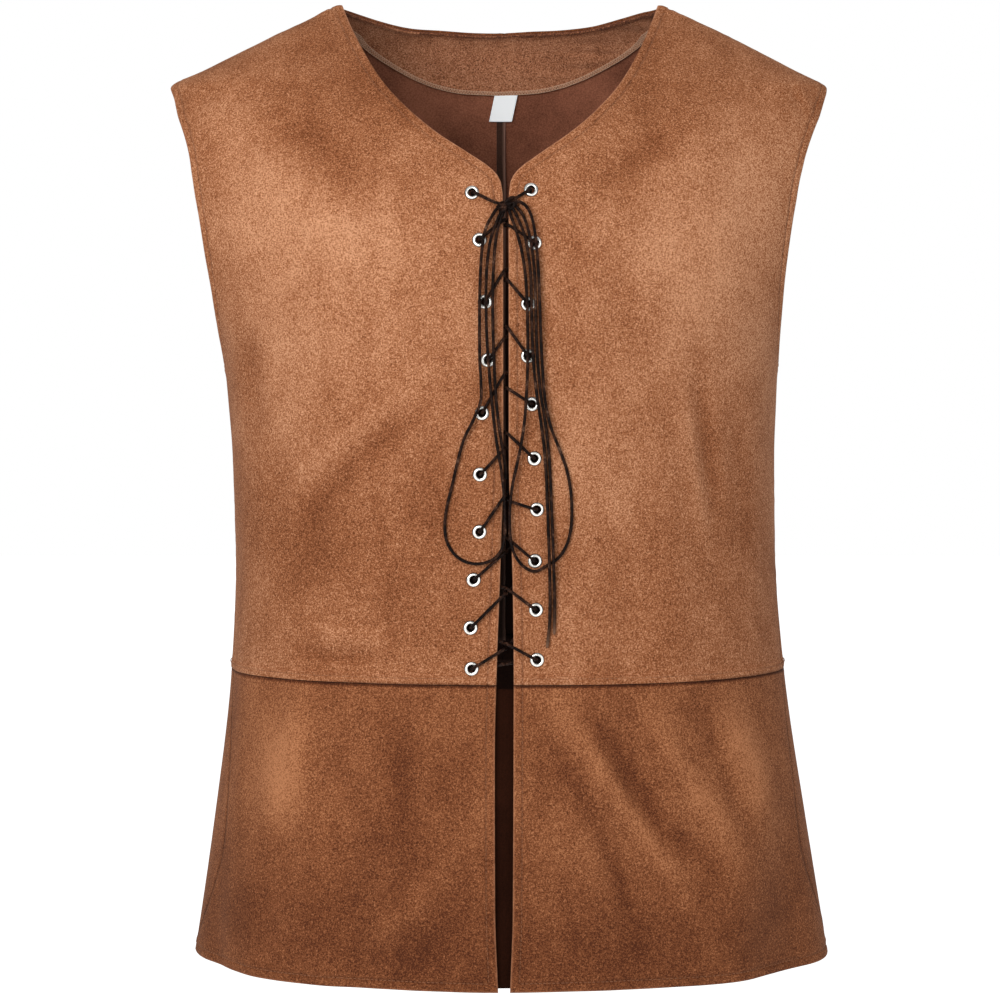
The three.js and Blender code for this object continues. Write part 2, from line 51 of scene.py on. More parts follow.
# ---------------------------------------------------------------- driving dimensions, as in the CAD
CLOTH = 2 * MM
SEAM_GAP = -0.02 * MM  # sewn pieces just overlap; the CAD keeps 0.3 apart
NECK_Z = -1.2 * MM
WAIST_Z = -486 * MM
HEM_Z = -696 * MM
SECTION_POWER = 2.3
CENTRE_BACK_X = 2 * MM
BACK_NECK_DROP = 9.4 * MM
FACING_CLOTH = 1.2 * MM
FACING_GAP = 0.4 * MM
WAIST_STRIP_LIFT = 1.2 * MM
ARM_TOP, ARM_BOTTOM, ARM_FRONT, ARM_BACK = -59 * MM, -262 * MM, 62 * MM, 58 * MM
FRONT_ARM_IN, BACK_ARM_OUT = 0.105, 0.3  # shares by which the armhole's edges shift near the shoulder tips
RIPPLE_SHARE, RIPPLE_WAVES, RIPPLE_PHASE, RIPPLE_START = 0.013, 9, 0.6, -500 * MM

# z, half width, depth before and behind the side line, sideways lean, in millimetres
SECTIONS = [
    (0, 116, 8, 46, 0), (-6, 129, 14, 65, 0), (-12, 140.5, 21, 77, 1), (-24, 165.5, 35, 87, 0.8),
    (-41, 199.5, 50, 95, 0), (-50, 217, 57.6, 98.2, -0.5), (-59, 235.5, 65, 101, -1.5),
    (-64, 243, 69, 102.4, -1), (-70, 245.5, 74, 104, -0.5), (-88, 249, 88, 108, -1),
    (-106, 248, 99.5, 111, -1.2), (-143, 239.5, 116.5, 115, -2.5), (-180, 229.7, 123, 116.5, -2.5),
    (-216, 217, 126, 116, -1.5), (-240, 209, 126.8, 115.2, -0.6), (-262, 203.7, 127, 114, 0.7),
    (-295, 201.4, 126.8, 111.2, 1.6), (-330, 199.6, 126, 108, 2.4), (-400, 198.7, 124, 103, 4.1),
    (-486, 204, 127, 106, 5.8), (-590, 217.3, 136, 121, 7.8), (-696, 232, 146, 136, 9),
]
NECKLINE = [
    (0, 116), (-25, 105.5), (-50, 93), (-68, 81.5), (-85, 66.5), (-103, 46), (-118, 24.5),
    (-130, 8.5), (-138, 3.4), (-150, 1.8),
]
OPENING = [  # z, middle, half width
    (0, 0, 1.8), (-60, 0.8, 1.8), (-150, 4, 1.8), (-330, 4.2, 1.8), (-400, 4.4, 3.9),
    (-470, 3.7, 5.7), (-530, 2.9, 6.4), (-640, 2.8, 6), (-696, 2.9, 4),
]
SIDE_SEAM = [  # z, degrees from the centre front
    (-262, 90), (-350, 88), (-486, 78), (-606, 70), (-645, 74), (-683, 82), (-696, 85),
]
FACING_EDGE = [  # degrees from the centre front, z
    (90, -9), (120, -11), (133, -15), (141, -20.5), (148, -26), (154, -31.5), (160, -38), (165, -44),
    (170, -49.6), (175, -53.4), (180, -54.6),
]
# right x, right z, slit height of its strand, left x, left z, slit height
EYELET_PAIRS = [
    (-19.3, -146.5, None, 21.3, -144.5, None),
    (-14.1, -179.1, -165.4, 23.7, -181.1, -168.8),
    (-10.3, -221.6, -199.7, 19.2, -223, -206.5),
    (-8.2, -261.4, -245.6, 19.2, -258.6, -238.8),
    (-12.4, -297.8, -270.3, 22, -291.6, -280.6),
    (-13.8, -340.1, -321.8, 23.7, -329.1, -311.5),
    (-14.2, -379.9, -354.2, 25.5, -364.3, -357.8),
    (-18.3, -413.1, -393.7, 24.2, -400, -384),
    (-20.4, -446.3, -422.6, 24.9, -433.8, -419),
    (-19.7, -474.6, -460.8, 25.6, -468.4, -457.2),
]
EYELET_HOLE = 3.2 * MM
LACE_RADIUS = 1.1 * MM
KNOT = (5.2, -156, 4.8)  # x, z, lift
BOW_CORDS = {  # x, z, lift above the cloth, from inside the knot
    "lace_loop_right": [
        (2.2, -157.2, 4.6),
        (-1.3, -158.2, 4.8), (-5.2, -163.5, 5.2), (-9.2, -171, 5.3), (-11.6, -181, 5.3), (-12.9, -195, 5.3),
        (-13.6, -212, 5.3), (-13.9, -229, 5.3), (-13.9, -246, 5.3), (-13.7, -262, 5.3), (-12.9, -277, 5.3),
        (-13.2, -290, 5.3), (-18.4, -303, 4.8), (-24.4, -315, 3.2), (-29, -331, 2.1), (-33.2, -349, 1.9),
        (-36.6, -363, 1.9), (-38, -375, 1.9), (-36.4, -387, 1.9), (-30.6, -396, 2), (-23, -400.6, 2.6),
        (-14, -401.6, 3.8), (-5, -398.6, 5.2), (0.6, -392.6, 5.4), (3, -384, 5.4), (3.3, -370, 5.3),
        (2.9, -356, 5.3), (1.6, -342, 5.3), (-0.6, -328, 5.3), (-2.8, -314, 5.3), (-4.6, -299, 5.3),
        (-6.2, -283, 5.3), (-7.6, -266, 5.3), (-8.8, -249, 5.3), (-9.4, -231, 5.3), (-9.5, -213, 5.3),
        (-8.7, -196, 5.3), (-6.4, -180, 5.3), (-2.6, -168.5, 5.2), (1.5, -159.8, 4.8), (4, -156.8, 4.6),
    ],
    "lace_loop_left": [
        (8.6, -154.8, 4.6),
        (11.7, -154, 5), (17, -156.4, 5.2), (21, -163, 5.3), (23.4, -173, 5.3), (25, -186, 5.3),
        (26, -201, 5.3), (26.7, -217, 5.3), (27.3, -234, 5.3), (28, -251, 5.3), (28.8, -267, 5.3),
        (29.8, -281, 5.3), (31.6, -295, 5.3), (35.2, -309, 4.6), (40.4, -322, 2.8), (45.2, -335, 1.9),
        (48.2, -349, 1.9), (49.2, -363, 1.9), (48.8, -376, 1.9), (46, -388, 1.9), (40.4, -397.4, 1.9),
        (32.4, -402.8, 2), (24, -407, 2.6), (16.4, -403.6, 4), (10.8, -396.6, 5.2), (7.6, -387, 5.4),
        (6.6, -374, 5.3), (7, -360, 5.3), (8.8, -346, 5.3), (11.8, -332, 5.3), (14.6, -318, 5.3),
        (16.6, -304, 5.3), (17.8, -289, 5.3), (18.6, -272, 5.3), (18.9, -255, 5.3), (18.7, -237, 5.3),
        (18.2, -219, 5.3), (17, -202, 5.3), (14.4, -186, 5.3), (10.6, -172.5, 5.2), (6.4, -160.1, 4.8),
        (6.4, -156.6, 4.6),
    ],
    "lace_end_one": [
        (7.2, -156.4, 4.6),
        (9, -159.2, 4.8), (12.8, -167, 5.2), (16.4, -176, 5.3), (19, -189, 5.3), (20.8, -204, 5.3),
        (21.3, -220, 5.3), (21.6, -237, 5.3), (22.2, -254, 5.3), (23.4, -271, 5.3), (25.4, -288, 5.3),
        (28, -305, 4.6), (30.2, -322, 2.8), (31.6, -340, 2.2), (32.4, -358, 2.3), (33, -375, 3.2),
        (33.5, -391, 4.9), (33.8, -404, 5.3), (34.2, -418, 3.6), (34.4, -433, 2.1), (33.8, -447, 1.8),
        (32.4, -460, 1.8),
    ],
    "lace_end_two": [
        (8.8, -155.4, 4.6),
        (11, -157.4, 4.9), (15.4, -163, 5.2), (18.8, -172, 5.3), (21.8, -187, 5.3), (23.4, -202, 5.3),
        (24, -218, 5.3), (24.4, -235, 5.3), (25, -252, 5.3), (26.1, -269, 5.3), (27.9, -286, 5.3),
        (30.7, -303, 4.6), (32.9, -320, 2.8), (34.3, -338, 2.2), (35.1, -356, 2.3), (35.7, -373, 3.2),
        (36.2, -389, 4.9), (36.6, -403, 5.3), (37.2, -417, 3.6), (37.6, -432, 2.1), (37.3, -451, 1.8),
    ],
    "lace_tucked": [  # goes back through the opening
        (4.6, -157, 4.6), (1.6, -163, 5), (-1.4, -172, 5.3), (-3.3, -184, 5.3), (-4.5, -200, 5.3), (-5, -220, 5.3),
        (-4.8, -240, 5.3), (-4.2, -258, 5.3), (-3.5, -275, 5.3), (-2.3, -292, 5.3), (-0.7, -306, 5.2),
        (1.1, -318, 4.4), (2.8, -328, 2.6), (3.9, -336, 0.2), (4.2, -343, -3.2),
    ],
}
FREE_ENDS = ("lace_end_one", "lace_end_two")
HANDS = ((1, "left"), (-1, "right"))  # +X is the wearer's left


# ---------------------------------------------------------------- smooth tables and the body surface
def smooth(rows, column, unit=MM, key_unit=MM):
    """A monotone cubic through one column of a table, for arrays."""
    rows = sorted(rows)
    at = np.array([r[0] for r in rows]) * key_unit
    value = np.array([r[column] for r in rows]) * unit
    slope = np.diff(value) / np.diff(at)
    tangent = np.empty(len(at))
    tangent[0], tangent[-1] = slope[0], slope[-1]
    before, after = slope[:-1], slope[1:]
    total = np.where(before + after == 0, 1, before + after)
    tangent[1:-1] = np.where(before * after <= 0, 0, 2 * before * after / total)

    def read(position):
        p = np.clip(position, at[0], at[-1])
        i = np.clip(np.searchsorted(at, p, side="right") - 1, 0, len(at) - 2)
        width = at[i + 1] - at[i]
        t = (p - at[i]) / width
        rise = value[i + 1] - value[i]
        bend = t * (1 - t) * ((1 - t) * (width * tangent[i] - rise) - t * (width * tangent[i + 1] - rise))
        return value[i] + t * rise + bend

    return read


half_at, front_at = smooth(SECTIONS, 1), smooth(SECTIONS, 2)
back_at, lean_at = smooth(SECTIONS, 3), smooth(SECTIONS, 4)
neckline_at = smooth(NECKLINE, 1)
opening_middle_at, opening_half_at = smooth(OPENING, 1), smooth(OPENING, 2)
side_seam_at = smooth(SIDE_SEAM, 1, unit=math.pi / 180)
facing_edge_at = smooth(FACING_EDGE, 1, key_unit=math.pi / 180)


def powered(value, power):
    return np.sign(value) * np.abs(value) ** power


def step_up(value, low, high):
    """0 below low, 1 above high, and a smooth step between."""
    t = np.clip((value - low) / (high - low), 0, 1)
    return t * t * (3 - 2 * t)


def bell(value, middle, width):
    """1 at the middle and fading to 0 on both sides."""
    return np.exp(-(((value - middle) / width) ** 2))


def side_of(x, z):
    return np.where(x < lean_at(z), -1.0, 1.0)


def off_side(x, z):
    """Share of the half width that lies between a point and the side line."""
    return 1 - np.abs(x - lean_at(z)) / half_at(z)


def surface(side, angle, z):
    angle, z = np.broadcast_arrays(np.asarray(angle, float), np.asarray(z, float))
    depth = np.where(np.cos(angle) > 0, front_at(z), back_at(z))
    below = np.maximum(0, (RIPPLE_START - z) / (RIPPLE_START - HEM_Z))
    ripple = 1 + RIPPLE_SHARE * below**1.5 * np.cos(RIPPLE_WAVES * side * angle + RIPPLE_PHASE)
    x = lean_at(z) + side * half_at(z) * powered(np.sin(angle), 2 / SECTION_POWER) * ripple
    y = -depth * powered(np.cos(angle), 2 / SECTION_POWER) * ripple
    return np.stack([x, y, z], -1)


def normal_at(side, angle, z):
    step = 0.01
    along = surface(side, angle + step, z) - surface(side, angle - step, z)
    up = surface(side, angle, z + step * 50 * MM) - surface(side, angle, z - step * 50 * MM)
    n = np.cross(along, up) * np.asarray(side, float)[..., None]
    return n / np.maximum(np.linalg.norm(n, axis=-1, keepdims=True), 1e-12)


def waves(seed, size, count=28, stretch=(1, 1, 1)):
    """Smooth noise of about that feature size: a seeded sum of waves, near -1 to 1."""
    rng = np.random.default_rng(seed)
    turn = rng.normal(size=(count, 3)) * 2 * math.pi / (size * 2.4) * np.array(stretch)
    phase = rng.uniform(0, 2 * math.pi, count)
    return lambda p: np.cos(p @ turn.T + phase).sum(-1) * math.sqrt(2 / count) * 0.7


drape_wide, drape_narrow = waves(3, 0.085, stretch=(1, 1, 0.55)), waves(11, 0.03, stretch=(1, 1, 0.6))
PULLS = [  # small creases near the shoulder tips: x, z of both ends, height, width
    (-213, -63, -226, -84, 1.1, 2.6), (-205, -58, -221, -90, -0.9, 3.2),
    (214, -63, 225, -88, 1.0, 2.6), (206, -57, 219, -92, -0.8, 3.2),
]
FOLDS = [  # broad folds of the worn cloth: points x, z along each, height, width
    (((-160, -80), (-124, -117), (-88, -153)), -2.4, 15),
    (((-178, -112), (-150, -152), (-104, -190)), 1.8, 19),
    (((-44, -286), (-100, -331), (-127, -362), (-138, -410)), -2.7, 9),
    (((-62, -284), (-112, -320), (-144, -350)), 1.3, 9),
    (((-142, -465), (-118, -469), (-82, -468)), -1.7, 4.2),
    (((-140, -450), (-105, -454), (-78, -457)), 1.8, 7.5),
    (((-178, -235), (-175, -290), (-177, -340)), -1.7, 8),
    (((126, -90), (97, -122), (64, -146)), -2.4, 12),
    (((126, -270), (134, -324), (146, -400)), 1.7, 5.5),
    (((137, -255), (148, -335), (157, -378)), -2.0, 6),
    (((165, -280), (172, -350), (178, -420)), -1.2, 8),
    (((76, -196), (80, -225), (84, -252)), -1.1, 10),
    (((-138, -500), (-150, -545), (-165, -604)), 3.0, 14),
    (((-72, -498), (-70, -545), (-62, -604)), -2.3, 10),
    (((-97, -670), (-60, -640), (-28, -596)), 2.2, 8),
    (((-75, -692), (-50, -672), (-30, -640)), -2.0, 7),
    (((34, -494), (68, -540), (104, -595), (140, -652)), 2.8, 7.5),
    (((52, -490), (84, -540), (112, -585), (162, -624)), -3.1, 8),
    (((98, -496), (130, -548), (162, -594)), 2.3, 8),
    (((26, -512), (56, -560), (82, -615), (98, -664)), -2.3, 6.5),
    (((158, -500), (182, -550), (194, -600)), 2.4, 12),
    (((135, -498), (158, -550), (178, -602)), -1.8, 7),
]


def off_segment(x, z, ends):
    """Distance of x, z from a segment, and how far along it, 0 to 1."""
    ax, az, bx, bz = (v * MM for v in ends)
    dx, dz = bx - ax, bz - az
    t = np.clip(((x - ax) * dx + (z - az) * dz) / (dx * dx + dz * dz), 0, 1)
    return np.hypot(x - ax - t * dx, z - az - t * dz), t


EASE = [  # z, how far the cloth stands proud of the smooth form all round
    (0, 0.6), (-59, 0.6), (-72, 0.3), (-110, 0), (-130, 0), (-150, 0.9), (-228, 0.9), (-252, 0.1), (-480, 0),
    (-560, 0.15), (-696, 0.4),
]
ease_at = smooth(EASE, 1)


def folded(x, y, z):
    """How far the broad folds rise, in millimetres: the front's, and weaker and mirrored on the back."""
    x = np.where(y < 0, x, -x)
    total = np.zeros(np.shape(x))
    for points, height, width in FOLDS:
        lengths = [math.dist(a, b) for a, b in zip(points, points[1:])]
        nearest, share, passed = np.full(np.shape(x), 1.0), np.zeros(np.shape(x)), 0
        for a, b, length in zip(points, points[1:], lengths):
            away, t = off_segment(x, z, (*a, *b))
            closer = away < nearest
            nearest = np.where(closer, away, nearest)
            share = np.where(closer, (passed + t * length) / sum(lengths), share)
            passed += length
        ends = np.clip(share / 0.3, 0, 1) * np.clip((1 - share) / 0.3, 0, 1)
        total = total + height * bell(nearest, 0, width * MM) * (0.15 + 0.85 * ends)
    return total * np.where(y < 0, 1, 0.6)


def drape(p):
    """How far the soft cloth stands off its smooth form: wide soft swells and a few small pulls."""
    x, y, z = p[..., 0], p[..., 1], p[..., 2]
    low = np.clip((-0.25 - z) / 0.4, 0, 1)
    calm = 1 - bell(x, 4 * MM, 50 * MM) * (y < 0)  # the laced front and the sides lie flatter
    calm = calm * (1 - 0.8 * bell(off_side(x, z), 0, 0.06))
    offset = ((0.9 + 1.3 * low) * drape_wide(p) + (0.3 + 0.3 * low) * drape_narrow(p)) * MM * calm
    offset = offset + folded(x, y, z) * MM * calm + ease_at(z)
    for *ends, height, width in PULLS:
        away, t = off_segment(x, z, ends)
        crease = height * MM * bell(away, 0, width * MM) * np.sin(math.pi * np.clip(t, 0.08, 0.92))
        offset = offset + crease * (y < 0.01)
    return offset


def lifted(side, angle, z, lift=0.0):
    """Points at those angles and heights, that far above the draped cloth."""
    base = surface(side, angle, z)
    n = normal_at(side, angle, z)
    return base + n * (np.asarray(lift) + drape(base))[..., None]


def angle_of(side, x, z):
    share = np.clip(side * (x - lean_at(z)) / half_at(z), -1, 1)
    return np.arcsin(powered(share, SECTION_POWER / 2))


def on_front(x, z, lift=0.0):
    """Points at x, z in metres on the front, that far above the cloth."""
    side = side_of(x, z)
    return lifted(side, angle_of(side, x, z), z, lift)


def front_mm(x, z, lift=0.0):
    """One point as on_front gives it, from millimetres."""
    return on_front(x * MM, z * MM, lift * MM)


def locate(p):
    """Side and angle of points that lie on or near the surface."""
    x, y, z = p[..., 0], p[..., 1], p[..., 2]
    across = (np.abs(x - lean_at(z)) / half_at(z)) ** (SECTION_POWER / 2)
    ahead = (np.abs(y) / np.where(y < 0, front_at(z), back_at(z))) ** (SECTION_POWER / 2)
    return side_of(x, z), np.arctan2(across, -np.sign(y) * ahead)


def side_edge(z, is_front):
    """Angle of a panel's edge at the side: shoulder seam, then armhole, then side seam."""
    depth, turn = (front_at(z), -1) if is_front else (back_at(z), 1)
    gap = SEAM_GAP / 2 / depth
    middle = (ARM_TOP + ARM_BOTTOM) / 2
    height = np.clip((z - middle) / (ARM_TOP - middle), -1, 1)
    if is_front:
        reach, shift = ARM_FRONT, 1 - FRONT_ARM_IN * step_up(height, 0.4, 0.9)
    else:
        reach, shift = ARM_BACK, 1 + BACK_ARM_OUT * step_up(height, -0.1, 0.9)
    reach = reach * np.sqrt(1 - height * height) * shift
    opened = np.arcsin(np.clip(reach / depth, 0, 1) ** (SECTION_POWER / 2))
    above, arm = math.pi / 2 + turn * gap, math.pi / 2 + turn * np.maximum(gap, opened)
    return np.where(z >= ARM_TOP, above, np.where(z <= ARM_BOTTOM, side_seam_at(z) + turn * gap, arm))


def front_edge(side, z):
    half = np.where(z > NECKLINE[-1][0] * MM, neckline_at(z), opening_half_at(z))
    return angle_of(side, opening_middle_at(z) + side * half, z)


def back_edge(side, z):
    return math.pi - angle_of(side, CENTRE_BACK_X + side * SEAM_GAP / 2, z)


def back_neckline(angle):
    return NECK_Z - BACK_NECK_DROP * np.sin(angle - math.pi / 2) ** 3


# ---------------------------------------------------------------- mesh helpers
def mesh_object(name, points, faces, smooth_faces=True):
    mesh = bpy.data.meshes.new(name)
    mesh.from_pydata([tuple(p) for p in points], [], faces)
    mesh.validate()
    if smooth_faces:
        mesh.polygons.foreach_set("use_smooth", np.ones(len(mesh.polygons), bool))
    obj = bpy.data.objects.new(name, mesh)
    bpy.context.scene.collection.objects.link(obj)
    return obj


def coordinates(mesh):
    flat = np.empty(len(mesh.vertices) * 3, np.float32)
    mesh.vertices.foreach_get("co", flat)
    return flat.reshape(-1, 3).astype(float)


def store(obj, name, values):
    layer = obj.data.attributes.new(name, "FLOAT", "POINT")
    layer.data.foreach_set("value", np.asarray(values, np.float32))


def lengths_along(line):
    return np.r_[0, np.cumsum(np.linalg.norm(np.diff(line, axis=0), axis=1))]


def spaced(line, step):
    """A line's points, that far apart."""
    lengths = lengths_along(line)
    count = max(2, int(round(lengths[-1] / step)) + 1)
    at = np.linspace(0, lengths[-1], count)
    return np.stack([np.interp(at, lengths, line[:, k]) for k in range(3)], -1)


def normalised(v):
    return v / np.linalg.norm(v)


def stand_on(x, z):
    """A point of the front, the way out of the cloth there, and the level way across."""
    middle = on_front(x, z)
    out = normalised(on_front(x, z, 1.0) - middle)
    return middle, out, normalised(np.cross(out, (0, 0, 1)))


def tube_faces(rows, count, start=0, capped=True):
    """Faces of a tube: rows of count points each, numbered from start."""
    index = start + np.arange(rows * count).reshape(rows, count)
    beside = np.roll(index, -1, axis=1)
    faces = np.stack([index[:-1], beside[:-1], beside[1:], index[1:]], -1).reshape(-1, 4).tolist()
    return [*faces, index[0, ::-1].tolist(), index[-1].tolist()] if capped else faces


def distance_to(points, samples, chunk=4000):
    """Each point's distance to the nearest sample."""
    out = np.full(len(points), 1.0)
    if len(samples) == 0:
        return out
    for k in range(0, len(points), chunk):
        part = points[k : k + chunk]
        squared = (part**2).sum(1)[:, None] + (samples**2).sum(1)[None] - 2 * part @ samples.T
        out[k : k + chunk] = np.sqrt(np.maximum(squared.min(1), 0))
    return out


EYELETS = [
    (f"eyelet_{hand}_{k + 1:02d}", side, pair[i] * MM, pair[i + 1] * MM)
    for k, pair in enumerate(EYELET_PAIRS)
    for hand, side, i in (("right", -1, 0), ("left", 1, 3))
]
EYELET_SPOTS = np.array([on_front(x, z) for _, _, x, z in EYELETS])
pucker = waves(23, 0.006)
STITCH_OFF = 6.2 * MM  # from a folded edge to its row of stitches


def fold_relief(to_fold, to_seam, points):
    """How the outer face rises and dips by its folded edges, its seams and the eyelets."""
    d = to_fold / MM
    pad = 0.22 * step_up(d, 0.2, 1.6) * (1 - step_up(d, 4.6, 6.2))
    channel = -0.55 * bell(d, 6.2, 0.8)
    ridge = 0.2 * bell(d, 8.8, 1.9)
    wrinkle = 0.3 * pucker(points) * bell(d, 6.5, 3.6)
    s = to_seam / MM
    seam = -0.15 * bell(s, 0, 1.1) + 0.15 * bell(s, 3.4, 1.4)
    seam = seam + 0.16 * pucker(points) * bell(s, 0, 5)
    ring = distance_to(points, EYELET_SPOTS) / MM
    dent = -0.3 * bell(ring, 5.6, 1.3) + 0.16 * bell(ring, 9, 2)
    return (pad + channel + ridge + wrinkle + seam + dent) * MM


# A row's columns lie at these distances from both its edges, and evenly in between.
EDGE_STEPS = MM * np.array(
    [0, 0.14, 0.38, 0.72, 1.1, 1.6, 2.3, 3.1, 4, 4.8, 5.4, 5.8, 6.2, 6.6, 7, 7.6, 8.5, 9.7, 11.2, 13.2]
)
EDGE_ROOM = 44 * MM  # in a narrower row they close up
FINE_STEPS = 240
HEM, HEM_DRAWN = 9 * MM, 7 * MM  # how deep a hem is, and how much of that the backing's material draws
FACING_ALLOWANCE = 3 * MM
SEAM_EDGE = 0.32 * MM  # how far a seam's edge is rounded
EDGE_SAMPLES = 0.4 * MM
FAR = 50 * MM  # distances to an edge are kept up to this
TURNED = [0, 3, 2, 1]  # a quad's corners, the other way round
EDGES, CUTS = {}, {}


def along_rows(side, starts, ends, rows_z, middle):
    """For each row, angles that run from start to end: close together at both ends, wide between."""
    angles, heights = [], []
    for start, end, z_of in zip(starts, ends, rows_z):
        fine = np.linspace(start, end, FINE_STEPS)
        line = surface(side, fine, z_of(fine))
        length = lengths_along(line)
        scale = min(1, length[-1] / EDGE_ROOM)
        near = EDGE_STEPS * scale
        between = np.linspace(near[-1], length[-1] - near[-1], middle + 2)[1:-1]
        at = np.r_[near, between, (length[-1] - near)[::-1]]
        row = np.interp(at, length, fine)
        angles.append(row)
        heights.append(z_of(row))
    return np.array(angles), np.array(heights)


def grid_faces(index):
    """Quads over a grid of point numbers, each going down first and then across."""
    return np.stack([index[:-1, :-1], index[1:, :-1], index[1:, 1:], index[:-1, 1:]], -1).reshape(-1, 4)


def spans(grid):
    """The length of every row and of every column of a grid of points."""
    across = np.linalg.norm(np.diff(grid, axis=1), axis=-1).sum(1)
    down = np.linalg.norm(np.diff(grid, axis=0), axis=-1).sum(0)
    return across, down


def cut_size(base, allowance):
    """Width, length and area of the flat piece that a panel is cut as, allowances included."""
    across, down = spans(base)
    one, other = base[1:, 1:] - base[:-1, :-1], base[1:, :-1] - base[:-1, 1:]
    area = np.linalg.norm(np.cross(one, other), axis=-1).sum() / 2
    rim = across[0] + across[-1] + down[0] + down[-1]
    width, length = across.max() + 2 * allowance, down.max() + 2 * allowance
    return float(width), float(length), float(min(area + rim * allowance, width * length))


def border_samples(borders, kinds):
    """Close points along the folded borders and along the sewn ones."""
    folds, seams = [], []
    for line, kind in zip(borders, kinds):
        fine = spaced(line, EDGE_SAMPLES)
        is_fold = kind(fine) if callable(kind) else np.full(len(fine), kind == "fold")
        folds.append(fine[is_fold])
        seams.append(fine[~is_fold])
    return {"fold": np.vstack(folds), "seam": np.vstack(seams)}


def shell(
    name, side, angle, z, edge_kinds, cloths, cloth=CLOTH, base_lift=0.0, extra=None, behind=None, hem=HEM
):
    """A closed wall of cloth over a grid, with rounded edges. edge_kinds has its four borders, first
    column, last column, first row, last row: fold, seam, or a test of points that tells a fold. cloths
    has the materials of its outer and inner face; the outer one is turned in along folds for hem. extra
    and behind give the relief of the outer and the inner face. Returns the object."""
    base = surface(side, angle, z)
    n = normal_at(side, angle, z)
    rows, columns = angle.shape
    flat = base.reshape(-1, 3)
    samples = border_samples([base[:, 0], base[:, -1], base[0], base[-1]], edge_kinds)
    to_fold = distance_to(flat, samples["fold"]).reshape(rows, columns)
    to_seam = distance_to(flat, samples["seam"]).reshape(rows, columns)
    relief = fold_relief(to_fold.ravel(), to_seam.ravel(), flat).reshape(rows, columns)
    if extra is not None:
        relief = relief + extra(base)
    radius = cloth / 2
    into = np.clip(np.minimum(to_fold / radius, to_seam / SEAM_EDGE), 0, 1)
    into[:, 0] = into[:, -1] = into[0] = into[-1] = 0
    crown = np.sqrt(1 - (1 - into) ** 2)  # rounds a fold over half the cloth's thickness, a seam far less
    soft = drape(base)
    thin = cloth * (0.55 + 0.45 * (1 - step_up(to_fold, hem - 1 * MM, hem + 0.5 * MM))) if hem else cloth
    if behind is not None:
        thin = thin + behind(base, to_fold, to_seam)
    outer = base + n * (base_lift - radius + crown * (radius + relief) + soft)[..., None]
    inner = base + n * (base_lift - radius - crown * (thin - radius) + soft)[..., None]
    points = [*outer.reshape(-1, 3)]
    inner_index = np.full((rows, columns), -1)
    index = np.arange(rows * columns).reshape(rows, columns)
    inner_index[0], inner_index[-1] = index[0], index[-1]
    inner_index[:, 0], inner_index[:, -1] = index[:, 0], index[:, -1]
    inside = inner_index < 0
    inner_index[inside] = np.arange(inside.sum()) + rows * columns
    points += [*inner[inside]]
    faces, back = grid_faces(index), grid_faces(inner_index)[:, TURNED]
    if side < 0:
        faces, back = faces[:, ::-1], back[:, ::-1]
    obj = mesh_object(name, points, [*faces.tolist(), *back.tolist()])
    for cloth_material in cloths:
        obj.data.materials.append(cloth_material)
    is_backing = to_fold[:-1, :-1].ravel() > max(0, hem - HEM_DRAWN)
    inside_face = np.r_[np.zeros(len(faces), np.int32), is_backing.astype(np.int32)]
    obj.data.polygons.foreach_set("material_index", inside_face)
    EDGES[name] = samples
    CUTS[name] = cut_size(base, hem or FACING_ALLOWANCE)
    return obj


def add_edge_layers(obj):
    """Keeps each point's distance to the folds and seams, and its tone of nap with painted light and shade, as
    layers for the materials.
    """
    points = coordinates(obj.data)
    samples = EDGES[obj.name]
    off_fold = distance_to(points, samples["fold"])
    to_fold = np.minimum(off_fold, FAR)
    # Along the back's neck edge the light fold-edge colour is held off and the tone lowered: painted shade.
    shaded_back_neck = ("_back_" in obj.name) & (points[:, 2] > -16 * MM) & (to_fold < 5 * MM)
    store(obj, "to_fold", np.where(shaded_back_neck, to_fold + 1.8 * MM, to_fold))
    store(obj, "to_seam", np.minimum(distance_to(points, samples["seam"]), FAR))
    tone = nap_and_painted_light(points) - 1.5 * shaded_back_neck
    if obj.name == "cloth_neck_facing":
        d = off_fold / MM
        # painted shade along the facing's neckline and in the groove just below it
        tone = tone - 1.5 * (1 - step_up(d, 3.2, 3.8)) - 1.3 * bell(d, 4.1, 0.5)
        tone = tone - 1.3 * bell(points[:, 1], 0, 24 * MM)  # painted shade in the corners by the shoulder seams
    else:
        store(obj, "hem_in", np.clip(HEM - to_fold, 0, HEM))
    store(obj, "nap_and_painted_light", tone)


# Light (positive) or dark patches: partly brushed nap, partly painted light and shade, as on the chest and at the
# hem: x, z, half width, half height, strength.
NAP_AND_LIGHT_PATCHES = [
    (-112, -200, 95, 72, 0.8), (140, -185, 62, 72, 0.95), (-185, -130, 30, 50, 0.45), (185, -130, 30, 50, 0.45),
    (-80, -70, 62, 45, -0.7), (95, -62, 60, 40, -0.4), (-205, -290, 26, 130, -0.35), (205, -290, 26, 130, 0.4),
    (-115, -320, 60, 60, 0.1), (60, -330, 30, 90, 0.35), (-115, -435, 50, 18, 0.4), (-100, -400, 80, 60, -0.75),
    (110, -420, 70, 50, -0.2), (-160, -545, 32, 50, 0.5), (-60, -590, 60, 80, -0.5), (-190, -640, 30, 50, -0.4),
    (165, -555, 34, 60, 0.45), (60, -560, 50, 45, 0.0), (205, -630, 22, 60, -0.4), (-100, -665, 120, 45, -0.8),
    (100, -665, 120, 45, -0.9), (-45, -250, 26, 120, -0.1), (-160, -260, 40, 60, 0.3), (170, -270, 40, 60, 0.2),
]
smoke, streaks = waves(41, 0.04, 40), waves(42, 0.014, 50, stretch=(1.3, 1, 0.5))


